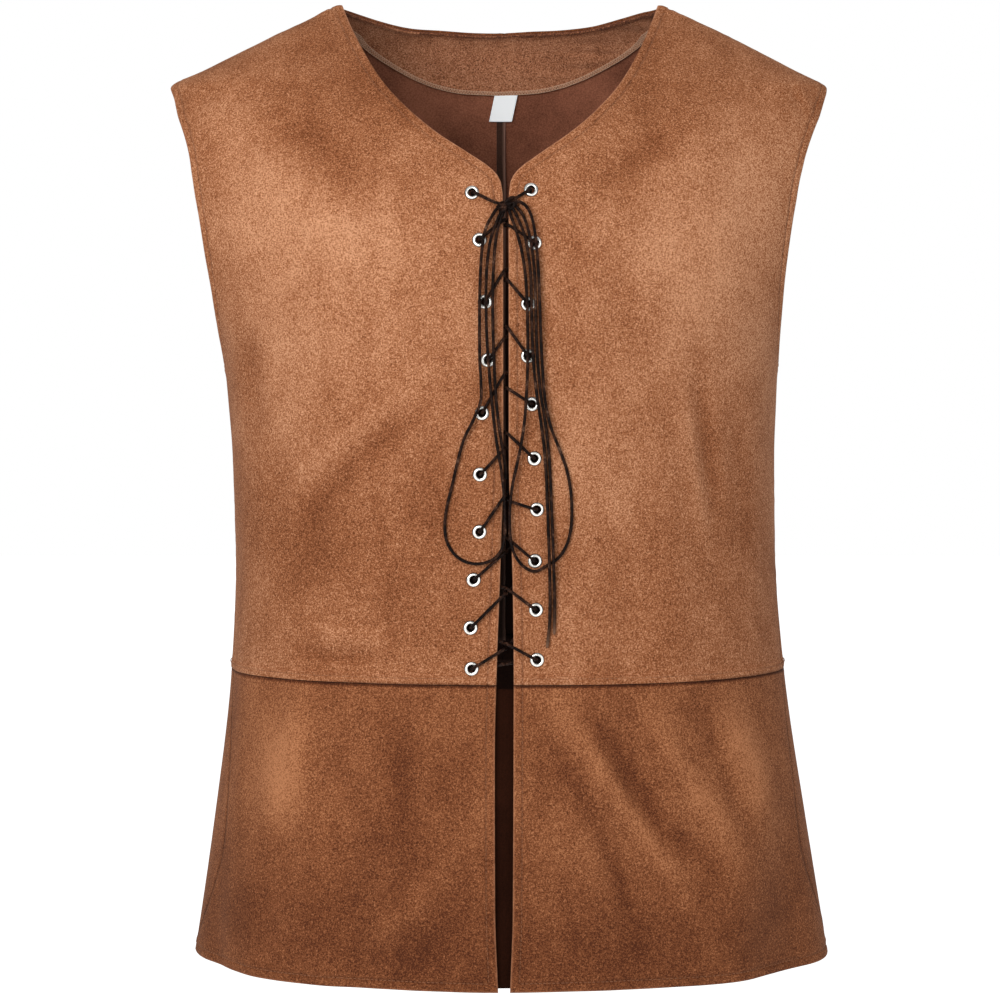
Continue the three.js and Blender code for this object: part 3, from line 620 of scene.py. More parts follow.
def nap_and_painted_light(points):
    """How light or dark the cloth's colour lies, about -1 to 1: brushed nap, with painted light and shade."""
    x, y, z = points.T / MM
    # mottled nap, with painted light and shade on the broad folds: ridges lighter, valleys darker
    total = 0.13 * smoke(points) + 0.13 * streaks(points) + 0.3 * folded(x * MM, y * MM, z * MM)
    # a painted highlight along the raised waist strip
    total = total + 0.1 * bell(z, -482.6, 2.6)
    total = total - 1.7 * bell(z, -487, 1.1) * (z < -486.1)  # the shade under the waist strip
    for px, pz, wide, tall, strength in NAP_AND_LIGHT_PATCHES:
        spot = np.exp(-(((x - px) / wide) ** 2) - ((z - pz) / tall) ** 2)
        total = total + strength * spot * np.where(y < 0, 1, 0.6)
    return total


# ---------------------------------------------------------------- shader nodes
def srgb(r, g, b):
    linear = [v / 255 / 12.92 if v <= 10 else ((v / 255 + 0.055) / 1.055) ** 2.4 for v in (r, g, b)]
    return (*linear, 1)


class Nodes:
    """Adds nodes to a shader tree. A value is another node's socket, or a plain number or colour."""

    def __init__(self, tree, in_object=True):
        self.nodes, self.links = tree.nodes, tree.links
        self.where = self.add("ShaderNodeTexCoord").outputs["Object"] if in_object else None

    def add(self, kind, values=None, **settings):
        node = self.nodes.new(kind)
        for key, value in settings.items():
            setattr(node, key, value)
        self.give(node, values or {})
        return node

    def give(self, node, values):
        for key, value in values.items():
            if isinstance(value, bpy.types.NodeSocket):
                self.links.new(value, node.inputs[key])
            else:
                node.inputs[key].default_value = value

    def noise(self, scale, detail, rough, distortion=0.0):
        values = {"Scale": scale, "Detail": detail, "Roughness": rough, "Distortion": distortion}
        return self.add("ShaderNodeTexNoise", {"Vector": self.where, **values}).outputs["Fac"]

    def bands(self, direction, scale, distortion):
        values = {"Vector": self.where, "Scale": scale, "Distortion": distortion, "Detail": 1}
        return self.add("ShaderNodeTexWave", values, wave_type="BANDS", bands_direction=direction).outputs["Fac"]

    def layer(self, name):
        return self.add("ShaderNodeAttribute", attribute_name=name).outputs["Fac"]

    def maths(self, operation, *values):
        return self.add("ShaderNodeMath", dict(enumerate(values)), operation=operation).outputs[0]

    def spread(self, value, low, high, to_low=0.0, to_high=1.0):
        values = {"Value": value, "From Min": low, "From Max": high, "To Min": to_low, "To Max": to_high}
        return self.add("ShaderNodeMapRange", values).outputs[0]

    def ramp(self, value, *stops):
        node = self.add("ShaderNodeValToRGB", {"Fac": value})
        elements = node.color_ramp.elements
        elements.remove(elements[-1])
        elements[0].position, elements[0].color = stops[0]
        for position, colour in stops[1:]:
            elements.new(position).color = colour
        return node.outputs["Color"]

    def mix(self, share, a, b, kind="MIX"):
        return self.add("ShaderNodeMix", {0: share, 6: a, 7: b}, data_type="RGBA", blend_type=kind).outputs[2]

    def bumps(self, *layers):
        """Chains bump nodes: (height, strength, distance)."""
        normal = None
        for height, strength, distance in layers:
            node = self.add("ShaderNodeBump", {"Height": height, "Strength": strength, "Distance": distance})
            if normal is not None:
                self.links.new(normal, node.inputs["Normal"])
            normal = node.outputs[0]
        return normal


def material_with(name, values_from):
    """A material whose shader takes the values that values_from(its nodes) returns."""
    material = bpy.data.materials.new(name)
    material.use_nodes = True
    n = Nodes(material.node_tree)
    n.give(n.nodes["Principled BSDF"], values_from(n))
    return material


# ---------------------------------------------------------------- materials of the cloth
CHANNEL_SHADE = srgb(120, 100, 88)
HEM_TONES = srgb(116, 62, 32), srgb(196, 136, 96)


def suede(name, dark, middle, light, fold_edge_colour):
    """Brushed faux suede: mottled nap with painted light and shade, fine grain, a fold-edge colour (partly wear,
    partly painted highlight; painted shade on the facing) and painted shade in the stitched channels and seams.
    """

    def values(n):
        cloud, smear = n.noise(17, 5, 0.6, 0.5), n.noise(80, 4, 0.62, 0.8)
        grain, fibre = n.noise(820, 3, 0.75, 0.1), n.noise(1500, 2, 0.7)
        value = n.maths("MULTIPLY_ADD", n.spread(cloud, 0.3, 0.7, -1, 1), 0.06, 0.5)
        for part, share in ((smear, 0.06), (grain, 0.46), (fibre, 0.34)):
            value = n.maths("ADD", value, n.spread(part, 0.3, 0.7, -share, share))
        value = n.maths("ADD", value, n.maths("MULTIPLY", n.layer("nap_and_painted_light"), 0.28))
        colour = n.ramp(value, (0.0, dark), (0.5, middle), (1.0, light))
        to_fold, to_seam = n.layer("to_fold"), n.layer("to_seam")
        patchy = n.spread(n.noise(180, 3, 0.6), 0.35, 0.65, 0.35, 1)
        # Along folded edges the colour turns to the fold-edge colour: on bodice and skirt a lighter edge, partly
        # wear and partly painted highlight; on the facing a darker edge, painted shade.
        fold_edge_share = n.maths("MULTIPLY", n.spread(to_fold, 0.0002, 0.0016, 0.9, 0), patchy)
        colour = n.mix(fold_edge_share, colour, fold_edge_colour)
        # painted shade in the stitched channels and along the seams
        channel = n.maths("ABSOLUTE", n.maths("SUBTRACT", to_fold, STITCH_OFF))
        stitch_channel_shade = n.maths("MULTIPLY", n.spread(channel, 0.0001, 0.0013, 0.34, 0), patchy)
        for share in (stitch_channel_shade, n.spread(to_seam, 0.0003, 0.0022, 0.55, 0)):
            colour = n.mix(share, colour, CHANNEL_SHADE, "MULTIPLY")
        return {
            "Base Color": colour, "Roughness": 0.92, "Specular IOR Level": 0.18,
            "Sheen Weight": 0.12, "Sheen Roughness": 0.45, "Sheen Tint": srgb(226, 176, 140),
            "Normal": n.bumps((smear, 0.2, 0.001), (grain, 0.45, 0.0004), (fibre, 0.35, 0.0002)),
        }

    return material_with(name, values)


def backing(name, dark, light, gloss=1.0, lit_near_neck=None, raw_edge=None):
    """The smooth knitted back of the faux suede, and the outer face where a hem turns it in. Optional paler tones
    make it paler round the neck and darker below: painted light and shade inside the vest.
    """

    def values(n):
        grain, rib = n.noise(900, 2, 0.6), n.bands("X", 330, 0.6)
        cloud = n.spread(n.noise(20, 3, 0.6), 0.3, 0.7, 0.1, 0.6)
        value = n.maths("ADD", cloud, n.spread(grain, 0.3, 0.7, -0.2, 0.3))
        colour = n.ramp(value, (0.0, dark), (1.0, light))
        if lit_near_neck:  # painted light: paler round the neck, where light comes in
            height = n.add("ShaderNodeSeparateXYZ", {0: n.where}).outputs["Z"]
            pale = n.ramp(value, (0.0, lit_near_neck[0]), (1.0, lit_near_neck[1]))
            colour = n.mix(n.spread(height, -0.21, -0.12), colour, pale)
        turned_in = n.ramp(value, (0.0, HEM_TONES[0]), (1.0, HEM_TONES[1]))
        colour = n.mix(n.spread(n.layer("hem_in"), 0, 0.0003), colour, turned_in)
        if raw_edge:
            colour = n.mix(n.layer("light_edge"), colour, raw_edge)
        return {
            "Base Color": colour, "Roughness": 0.9, "Specular IOR Level": 0.2 * gloss, "Sheen Weight": 0.1 * gloss,
            "Normal": n.bumps((rib, 0.3, 0.0003), (grain, 0.3, 0.0003)),
        }

    return material_with(name, values)


BODICE = suede("bodice_suede", srgb(97, 49, 22), srgb(160, 97, 59), srgb(218, 160, 121), srgb(206, 146, 110))
SKIRT = suede("skirt_suede", srgb(78, 36, 15), srgb(136, 78, 44), srgb(194, 130, 88), srgb(190, 128, 92))
# The facing's fold-edge colour is dark: painted shade along its neckline.
FACING = suede("facing_suede", srgb(84, 46, 31), srgb(174, 111, 76), srgb(218, 162, 126), srgb(112, 70, 48))
# Inside the vest the tones are painted shade, with paler painted light round the neck.
INSIDE = backing("suede_back", srgb(40, 20, 13), srgb(78, 44, 30), 0.5, (srgb(104, 60, 43), srgb(180, 114, 86)))

# ---------------------------------------------------------------- panels
def rows_between(*marks):
    """Heights from one mark to the next, in millimetres: (z, step towards the next one)."""
    rows = []
    for (z, step), (following, _) in zip(marks, marks[1:]):
        count = max(1, int(round(abs(z - following) / step)))
        rows += list(np.linspace(z, following, count + 1)[:-1])
    return np.array([*rows, marks[-1][0]]) * MM


def arm_rows(step):
    middle, half = (ARM_TOP + ARM_BOTTOM) / 2, (ARM_TOP - ARM_BOTTOM) / 2
    count = int(round((ARM_TOP - ARM_BOTTOM) / (step * MM) * 1.1))
    return middle + half * np.cos(np.linspace(0, math.pi, count + 1))[1:-1]


WAIST_ROWS = rows_between(
    (-440, 3.6), (-471, 1.6), (-477, 0.7), (-479.2, 0.28), (-480.6, 0.5), (-484.6, 0.35), (-485.4, 0.2),
    (-486, 1),
)
BODICE_ROWS = np.r_[
    rows_between((-1.2, 0.25), (-2.4, 0.5), (-5, 1), (-12, 1.8), (-30, 2.6), (-56, 0.9), (-59, 1)),
    arm_rows(3.1),
    rows_between((-262, 0.5), (-264, 1.3), (-270, 3.6), (-440, 1))[:-1],
    WAIST_ROWS,
]
SKIRT_ROWS = rows_between(
    (-486.3, 0.16), (-487.2, 0.5), (-490, 1.6), (-500, 3.8), (-678, 1.6), (-686, 0.6), (-694, 0.5),
    (-695.2, 0.16), (-696, 1),
)
# Even columns of a panel, between those close to its edges.
BODICE_COLUMNS, SKIRT_COLUMNS, BACK_SKIRT_COLUMNS, FACING_COLUMNS = 42, 46, 110, 120


def waist_strip(base):
    """The lapped edge along the waist: a folded strip with a stitched channel near its upper edge."""
    t = (base[..., 2] - WAIST_Z) / MM
    strip = WAIST_STRIP_LIFT / MM * (1 - step_up(t, 5.7, 6.5))
    crown = 0.16 * np.sin(math.pi * np.clip(t / 5.8, 0, 1))
    channel = -0.42 * bell(t, 4.3, 0.55) * (t < 5.9)
    gather = 0.16 * pucker(base) * bell(t, 5, 5)
    at_side = 1 - 0.75 * bell(off_side(base[..., 0], base[..., 2]), 0, 0.035)
    return (strip * at_side + crown + channel + gather) * MM


def flat_height(z):
    return lambda angles: np.full_like(angles, z)


def is_armhole(line):
    return (line[:, 2] < ARM_TOP - 0.2 * MM) & (line[:, 2] > ARM_BOTTOM + 0.2 * MM)


def bodice_front(side, name):
    z = BODICE_ROWS
    heights = [flat_height(v) for v in z]
    angle, height = along_rows(side, front_edge(side, z), side_edge(z, True), heights, BODICE_COLUMNS)
    kinds = ["fold", is_armhole, "fold", "seam"]
    return shell(name, side, angle, height, kinds, (BODICE, INSIDE), extra=waist_strip)


def bodice_back(side, name):
    z = BODICE_ROWS
    level_out = 90 * MM

    def height_of(row):
        fade = max(0, 1 + (row - NECK_Z) / level_out)
        return lambda angles: row + fade * (back_neckline(angles) - NECK_Z)

    heights = [height_of(v) for v in z]
    angle, height = along_rows(side, back_edge(side, z), side_edge(z, False), heights, BODICE_COLUMNS)
    kinds = [is_armhole, "seam", "fold", "seam"]
    return shell(name, side, angle[:, ::-1], height[:, ::-1], kinds, (BODICE, INSIDE), extra=waist_strip)


def skirt_front(side, name):
    z = SKIRT_ROWS
    heights = [flat_height(v) for v in z]
    angle, height = along_rows(side, front_edge(side, z), side_edge(z, True), heights, SKIRT_COLUMNS)
    return shell(name, side, angle, height, ["fold", "seam", "seam", "fold"], (SKIRT, INSIDE))


def skirt_back(name):
    z = SKIRT_ROWS
    start = side_edge(z, False)
    heights = [flat_height(v) for v in z]
    angle, height = along_rows(1, start, 2 * math.pi - start, heights, BACK_SKIRT_COLUMNS)
    return shell(name, 1, angle, height, ["seam", "seam", "seam", "fold"], (SKIRT, INSIDE))


HOLE_SIDES, HOLE_DEPTHS = 28, (-6 * MM, 5 * MM)


def cut_eyelet_holes(obj, side):
    points, faces = [], []
    turns = np.linspace(0, 2 * math.pi, HOLE_SIDES + 1)[:-1]
    for _, its_side, x, z in EYELETS:
        if its_side != side:
            continue
        middle, out, across = stand_on(x, z)
        up = np.cross(out, across)
        faces += tube_faces(len(HOLE_DEPTHS), HOLE_SIDES, len(points))
        for depth in HOLE_DEPTHS:
            centre = middle + out * depth
            points += [centre + EYELET_HOLE * (across * math.cos(t) + up * math.sin(t)) for t in turns]
    cutter = mesh_object("cutter", points, faces)
    modifier = obj.modifiers.new("holes", "BOOLEAN")
    modifier.object, modifier.operation, modifier.solver = cutter, "DIFFERENCE", "EXACT"
    graph = bpy.context.evaluated_depsgraph_get()
    made = bpy.data.meshes.new_from_object(obj.evaluated_get(graph))
    obj.modifiers.clear()
    old, obj.data = obj.data, made
    bpy.data.meshes.remove(old)
    bpy.data.objects.remove(cutter)


def finish_piece(obj, slot, *nodes):
    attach(obj, "root")
    if nodes:
        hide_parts(*nodes)
    return obj


def clothe(obj, slot, *nodes):
    add_edge_layers(obj)
    return finish_piece(obj, slot, *nodes)


for side, hand in HANDS:
    front = bodice_front(side, f"cloth_bodice_front_{hand}")
    cut_eyelet_holes(front, side)
    clothe(front, "bodice_suede", f"bodice_front_{hand}")
    back = bodice_back(side, f"cloth_bodice_back_{hand}")
    clothe(back, "bodice_suede", f"bodice_back_{hand}")
    skirt = skirt_front(side, f"cloth_skirt_front_{hand}")
    clothe(skirt, "skirt_suede", f"skirt_front_{hand}")
clothe(skirt_back("cloth_skirt_back"), "skirt_suede", "skirt_back")


def from_front(angle):
    """The angle from the centre front, the shorter way round."""
    return np.where(angle > math.pi, 2 * math.pi - angle, angle)


BACK_SHOULDER = float(side_edge(NECK_Z, False))


def facing(name):
    rows = np.r_[0, 0.004, 0.012, 0.03, 0.06, np.linspace(0.1, 0.9, 22), 0.94, 0.97, 0.988, 0.996, 1]

    def height_of(row):
        """A row's height: from the neckline, row 0, to the facing's lower edge, row 1."""

        def read(angles):
            angle = from_front(angles)
            return (1 - row) * back_neckline(angle) + row * facing_edge_at(angle)

        return read

    starts, ends = [BACK_SHOULDER] * len(rows), [2 * math.pi - BACK_SHOULDER] * len(rows)
    angle, height = along_rows(1, starts, ends, [height_of(r) for r in rows], FACING_COLUMNS)
    rumple, creases = waves(57, 0.022, stretch=(0.5, 0.5, 1.6)), waves(58, 0.013, stretch=(0.25, 0.25, 2.2))

    def behind(base, to_fold, to_seam):
        right = step_up(base[..., 0], 0.01, 0.07)
        band = 0.45 * (1 - step_up(to_fold, 3.2 * MM, 3.8 * MM)) - 0.3 * bell(to_fold, 4.1 * MM, 0.6 * MM)
        soft = (0.45 * rumple(base) + 0.9 * right * creases(base)) * step_up(to_seam, 3.6 * MM, 8 * MM)
        return np.maximum(soft + band, -0.45) * MM

    kinds, inside = ["seam", "seam", "fold", "seam"], -(CLOTH + FACING_GAP)
    return shell(name, 1, angle, height, kinds, (INSIDE, FACING), FACING_CLOTH, inside, behind=behind, hem=0)


clothe(facing("cloth_neck_facing"), "facing_suede", "neck_facing")


# ---------------------------------------------------------------- inside the neck
def swept(name, sections):
    """A closed tube through a row of equal loops of points."""
    return mesh_object(name, np.concatenate(sections), tube_faces(len(sections), len(sections[0])))


def on_back(x, z, lift):
    """Points on the inside of the back, x and z in metres, lift measured outward from the outer face."""
    side = side_of(x, z)
    return lifted(side, math.pi - angle_of(side, x, z), z, lift)


def seam_allowance(name):
    """The centre-back seam allowance, folded to one side, its raw edge standing up a little."""
    foot = -2.05
    profile = [  # x beside the seam, lift off the outer face
        (-4.6, foot), (-4.3, -2.7), (-2.4, -3.0), (-0.4, -3.3), (1.2, -4.3), (1.9, -4.6), (2.4, -4.2), (2.3, foot),
    ]
    sections = []
    for z in np.arange(-57, -480, -2.5):
        sway = 0.5 * math.sin(z / 31) + 0.25 * math.sin(z / 11 + 1)
        rise = (1 + 0.18 * math.sin(z / 17 + 2)) * (0.25 + 0.75 * float(step_up(-z, 72, 92)))
        loop = []
        for px, lift in profile:
            x = CENTRE_BACK_X / MM + px + sway * (lift < -3)
            loop.append(on_back(x * MM, z * MM, (foot + (lift - foot) * rise) * MM))
        sections.append(np.array(loop))
    return swept(name, sections)


allowance = seam_allowance("centre_back_allowance")
store(allowance, "light_edge", bell(coordinates(allowance.data)[:, 0] / MM, 3.7, 0.9))


def thin_sheet(name, front, back):
    """A closed thin sheet from two equal grids of points."""
    across, down = spans(front)
    CUTS[name] = float(across.max()), float(down.max())
    rows, columns = front.shape[:2]
    index = np.arange(rows * columns).reshape(rows, columns)
    layer = index.size
    faces = [*grid_faces(index).tolist(), *(grid_faces(index)[:, TURNED] + layer).tolist()]
    rim = [int(v) for v in (*index[0, :-1], *index[:-1, -1], *index[-1, :0:-1], *index[:0:-1, 0])]
    faces += [[a, b, layer + b, layer + a] for a, b in zip(rim, [*rim[1:], rim[0]])]
    return mesh_object(name, [*front.reshape(-1, 3), *back.reshape(-1, 3)], faces)


def care_label(name):
    """A woven label sewn in under the facing, its lower end standing off the back. It carries no print."""
    width, length, top, middle_x, slant, cloth = 17.8, 19.6, -54.6, 4.7, 0.22, 0.35
    t, u = np.meshgrid(np.linspace(0, 1, 25), np.linspace(-0.5, 0.5, 23), indexing="ij")
    x = (middle_x + u * width - slant * t * length) * MM
    z = (top - t * length) * MM
    curl = 1.1 + 1.5 * t**2.2 + 0.5 * t * np.sin(2.4 * u + 0.6)
    return thin_sheet(name, on_back(x, z, -(2.3 + curl + cloth) * MM), on_back(x, z, -(2.3 + curl) * MM))


def waist_allowance(side, name):
    """The waist seam's allowance, lying against the inside of the vest."""
    z = np.linspace(WAIST_Z + 10 * MM, WAIST_Z - 11 * MM, 8)
    start, end = front_edge(side, z) + 0.012, back_edge(side, z)
    t = np.linspace(0, 1, 160)[None]
    angle = start[:, None] * (1 - t) + end[:, None] * t
    z = np.broadcast_to(z[:, None], angle.shape)
    wavy = 0.35 * np.sin(angle * 70) + 0.3 * np.sin(angle * 31 + 1)
    hang = np.clip((WAIST_Z - z) / (11 * MM), -1, 1)
    lift = 1.2 + wavy * np.abs(hang) * 0.8
    return thin_sheet(name, lifted(side, angle, z, -lift * MM), lifted(side, angle, z, -(lift + 1.3) * MM))


waist_allowances = [waist_allowance(side, f"waist_allowance_{hand}") for side, hand in HANDS]


def underlap(name):
    """A narrow strip sewn in behind the skirt's opening, hanging from the waist seam to the hem."""
    down, across = np.meshgrid(np.linspace(0, 1, 60), np.linspace(-1, 1, 15), indexing="ij")
    z = (-489 - 204.5 * down) * MM
    x = opening_middle_at(z) + (17.5 + 1.2 * np.sin(down * 9)) * across * MM
    lift = 4.2 + 1.1 * down + 0.5 * np.sin(down * 13 + across * 1.4)
    return thin_sheet(name, on_front(x, z, -lift * MM), on_front(x, z, -(lift + 0.9) * MM))


front_underlap = underlap("front_underlap")
label = care_label("blank_care_label")

# ---------------------------------------------------------------- threads
def tube_points(line, radius, sides, scales=None):
    """Rings round a line that keep their turn along it."""
    tangent = np.gradient(line, axis=0)
    tangent /= np.linalg.norm(tangent, axis=1, keepdims=True)
    normal = np.cross(tangent[0], (0, 0, 1.0))
    if np.linalg.norm(normal) < 1e-3:
        normal = np.cross(tangent[0], (0, 1.0, 0))
    rings = []
    turns = np.linspace(0, 2 * math.pi, sides + 1)[:-1]
    for k, (point, along) in enumerate(zip(line, tangent)):
        normal = normalised(normal - along * (normal @ along))
        across = np.cross(along, normal)
        r = radius * (1 if scales is None else scales[k])
        rings.append(point + r * (np.cos(turns)[:, None] * normal + np.sin(turns)[:, None] * across))
    return rings


def off_edge(line, inward, distance):
    """A line that runs beside an edge, that far in, on the draped cloth and on the smooth form."""
    fine = spaced(line, 1.0 * MM)
    tangent = np.gradient(fine, axis=0)
    tangent /= np.maximum(np.linalg.norm(tangent, axis=1, keepdims=True), 1e-9)
    its_side, angle = locate(fine)
    n = normal_at(its_side, angle, fine[:, 2])
    moved = fine + inward * np.cross(n, tangent) * distance
    its_side, angle = locate(moved)
    return lifted(its_side, angle, moved[:, 2]), surface(its_side, angle, moved[:, 2])


SHORTEST_ROW = 8  # in points, 1 mm apart


def stitch_rows(edges, samples_of):
    """Rows of topstitching beside folded edges: (edge line, +1 or -1 for its inner side)."""
    rows = []
    for line, inward in edges:
        top, base = off_edge(line, inward, STITCH_OFF)
        to_fold = distance_to(base, EDGES[samples_of]["fold"])
        keep = to_fold > STITCH_OFF - 0.35 * MM
        relief = fold_relief(to_fold, distance_to(base, EDGES[samples_of]["seam"]), base)
        its_side, angle = locate(base)
        n = normal_at(its_side, angle, base[:, 2])
        row = top + n * (relief + 0.16 * MM)[:, None]
        cuts = np.flatnonzero(keep[1:] != keep[:-1]) + 1
        for run, kept in zip(np.split(row, cuts), np.split(keep, cuts)):
            if kept[0] and len(run) > SHORTEST_ROW:
                rows.append(run)
    return rows


STITCH_SIDES = 6
STITCH_FORM = [  # share of its length, thickness, how deep it sinks in, in millimetres
    (-0.5, 0.35, 0.3), (-0.36, 0.9, 0.08), (0, 1, 0), (0.36, 0.9, 0.08), (0.5, 0.35, 0.3),
]


def stitches(name, rows, pitch=3.1 * MM, length=2.35 * MM, radius=0.27 * MM):
    """Every row of stitches as one mesh of short rounded threads that dip into the cloth at both ends."""
    points, faces = [], []
    for row in rows:
        beads = spaced(row, pitch)
        for a, b in zip(beads, beads[1:]):
            middle, along = (a + b) / 2, normalised(b - a)
            its_side, angle = locate(middle)
            out = normal_at(its_side, angle, middle[2])
            across = normalised(np.cross(along, out))
            faces += tube_faces(len(STITCH_FORM), STITCH_SIDES, len(points))
            for t, size, sink in STITCH_FORM:
                centre = middle + along * length * t - out * sink * MM
                for k in range(STITCH_SIDES):
                    turn = 2 * math.pi * k / STITCH_SIDES
                    points.append(centre + radius * size * (across * math.cos(turn) + out * math.sin(turn)))
    return mesh_object(name, points, faces)


def front_line(side, top, bottom):
    z = np.linspace(top, bottom, 400)
    return surface(side, front_edge(side, z), z)


def arm_line(side, is_front):
    z = arm_rows(0.8)
    return surface(side, side_edge(z, is_front), z)


def level_line(side, z, start, end):
    angle = np.linspace(start, end, 500)
    return surface(side, angle, np.full_like(angle, z))


bodice_rows, skirt_rows = [], []
STRIP_STITCH_Z = WAIST_Z + 4.3 * MM
for side, hand in HANDS:
    edges = [(front_line(side, NECK_Z - 4 * MM, WAIST_Z + 7 * MM), side), (arm_line(side, True), -side)]
    bodice_rows += stitch_rows(edges, f"cloth_bodice_front_{hand}")
    neck = np.linspace(float(back_edge(side, NECK_Z)), BACK_SHOULDER, 300)
    edges = [(arm_line(side, False), side), (surface(side, neck, back_neckline(neck)), side)]
    bodice_rows += stitch_rows(edges, f"cloth_bodice_back_{hand}")
    hem = level_line(side, HEM_Z, float(front_edge(side, HEM_Z)), float(side_edge(HEM_Z, True)))
    edges = [(front_line(side, WAIST_Z - 1 * MM, HEM_Z), side), (hem, side)]
    skirt_rows += stitch_rows(edges, f"cloth_skirt_front_{hand}")
    for start, end in (
        (front_edge(side, STRIP_STITCH_Z), side_edge(STRIP_STITCH_Z, True)),
        (side_edge(STRIP_STITCH_Z, False), back_edge(side, STRIP_STITCH_Z)),
    ):
        angle = np.linspace(float(start) + 0.004, float(end) - 0.004, 600)
        row_z = np.full_like(angle, STRIP_STITCH_Z)
        bodice_rows.append(lifted(side, angle, row_z, WAIST_STRIP_LIFT - 0.1 * MM))
hem_start = float(side_edge(HEM_Z, False))
hem = level_line(1, HEM_Z, hem_start, 2 * math.pi - hem_start)
skirt_rows += stitch_rows([(hem, 1)], "cloth_skirt_back")
bodice_stitches = stitches("bodice_topstitching", bodice_rows)
skirt_stitches = stitches("skirt_topstitching", skirt_rows)

OVERLOCK_SIDES, OVERLOCK_RADIUS = 5, 0.3 * MM


def overlock(name):
    """Overlocked lower edge of the facing: a zigzag between two chain rows."""
    shoulder = BACK_SHOULDER + 0.05
    angle = np.linspace(shoulder, 2 * math.pi - shoulder, 4000)
    fine = spaced(surface(1, angle, facing_edge_at(from_front(angle))), 0.24 * MM)
    its_side = side_of(fine[:, 0], fine[:, 2])
    lift = -(CLOTH + FACING_GAP + FACING_CLOTH + 0.12 * MM)
    leg = np.arange(len(fine)) / 4.5
    swing = -0.2 + 2.9 * np.abs(leg % 2 - 1)
    wobble = 0.25 * np.sin(leg * 1.7)
    points, faces = [], []
    for offset in (swing + wobble * 0.4, 0.05 + wobble * 0.2, 2.45 + wobble * 0.3):
        line = fine + np.array([0, 0, 1.0]) * (offset * MM)[:, None]
        _, around = locate(line)
        rings = tube_points(lifted(its_side, around, line[:, 2], lift), OVERLOCK_RADIUS, OVERLOCK_SIDES)
        faces += tube_faces(len(rings), OVERLOCK_SIDES, len(points), capped=False)
        points += [p for ring in rings for p in ring]
    return mesh_object(name, points, faces)


facing_overlock = overlock("facing_overlock")

# ---------------------------------------------------------------- eyelets
RING = [  # radius, height above the cloth, in millimetres: barrel, rolled rim, washer behind
    (2.45, -2.6), (2.42, -1.0), (2.45, 0.1), (2.6, 0.62), (2.95, 1.0), (3.4, 1.18), (3.95, 1.14), (4.45, 0.9),
    (4.8, 0.55), (4.99, 0.12), (4.9, -0.12), (4.5, -0.2), (3.1, -0.2), (2.9, -0.5), (2.9, -2.35), (4.4, -2.45),
    (4.5, -2.75), (3.5, -2.95), (2.7, -2.9),
]
RING_STEPS = 40


def eyelet_ring(name, x, z):
    middle, out, across = stand_on(x, z)
    up = np.cross(across, out)
    sections = [
        np.array([middle + r * MM * (across * math.cos(t) + up * math.sin(t)) + out * h * MM for r, h in RING])
        for t in np.linspace(0, 2 * math.pi, RING_STEPS + 1)[:-1]
    ]
    count, points, faces = len(RING), np.concatenate(sections), []
    for i in range(len(sections)):
        j = (i + 1) % len(sections)
        for k in range(count):
            n = (k + 1) % count
            faces.append([i * count + k, j * count + k, j * count + n, i * count + n])
    obj = mesh_object(name, points, faces)
    # the ring's foot and its bore are painted dark: painted shade
    foot_and_bore_shade = [1.0 if r > 4.78 or (r < 2.5 and h > -2) else 0.0 for r, h in RING]
    store(obj, "foot_and_bore_shade", np.tile(foot_and_bore_shade, len(sections)))
    return obj


rings = [(eyelet_ring(f"ring_{name}", x, z), name) for name, _, x, z in EYELETS]

# ---------------------------------------------------------------- lace
ENTRY = [(5.5, -4.7), (1.2, -4.4), (0, -1.6)]  # distance from an eyelet's middle, lift: inside to outside
EXIT = [(0, 0.2), (1.3, 2.65), (5.5, 2.85)]
LOWEST_BAR = (0.2, -471.5)  # the bar behind the lowest pair: x to the strand's side of the opening's middle, z
KNOT_ENDS = {-1: (-2.5, -154.7), 1: (9.9, -152.2)}  # where a strand from either side goes into the knot
LACE_SIDES = 12


def curve_through(points, step=1.2 * MM):
    """A centripetal Catmull-Rom curve through the points, sampled evenly."""
    p = np.asarray(points, float)
    p = np.vstack([2 * p[0] - p[1], p, 2 * p[-1] - p[-2]])
    out = []
    for i in range(1, len(p) - 2):
        p0, p1, p2, p3 = p[i - 1 : i + 3]
        t0 = 0.0
        t1 = t0 + max(np.linalg.norm(p1 - p0), 1e-9) ** 0.5
        t2 = t1 + max(np.linalg.norm(p2 - p1), 1e-9) ** 0.5
        t3 = t2 + max(np.linalg.norm(p3 - p2), 1e-9) ** 0.5
        for t in np.linspace(t1, t2, 12, endpoint=False):
            a1 = (t1 - t) / (t1 - t0) * p0 + (t - t0) / (t1 - t0) * p1
            a2 = (t2 - t) / (t2 - t1) * p1 + (t - t1) / (t2 - t1) * p2
            a3 = (t3 - t) / (t3 - t2) * p2 + (t - t2) / (t3 - t2) * p3
            b1 = (t2 - t) / (t2 - t0) * a1 + (t - t0) / (t2 - t0) * a2
            b2 = (t3 - t) / (t3 - t1) * a2 + (t - t1) / (t3 - t1) * a3
            out.append((t2 - t) / (t2 - t1) * b1 + (t - t1) / (t2 - t1) * b2)
    out.append(p[-2])
    return spaced(np.array(out), step)


def towards(x, z, to_x, to_z, distance, lift):
    length = math.hypot(to_x - x, to_z - z)
    return front_mm(x + (to_x - x) * distance / length, z + (to_z - z) * distance / length, lift)


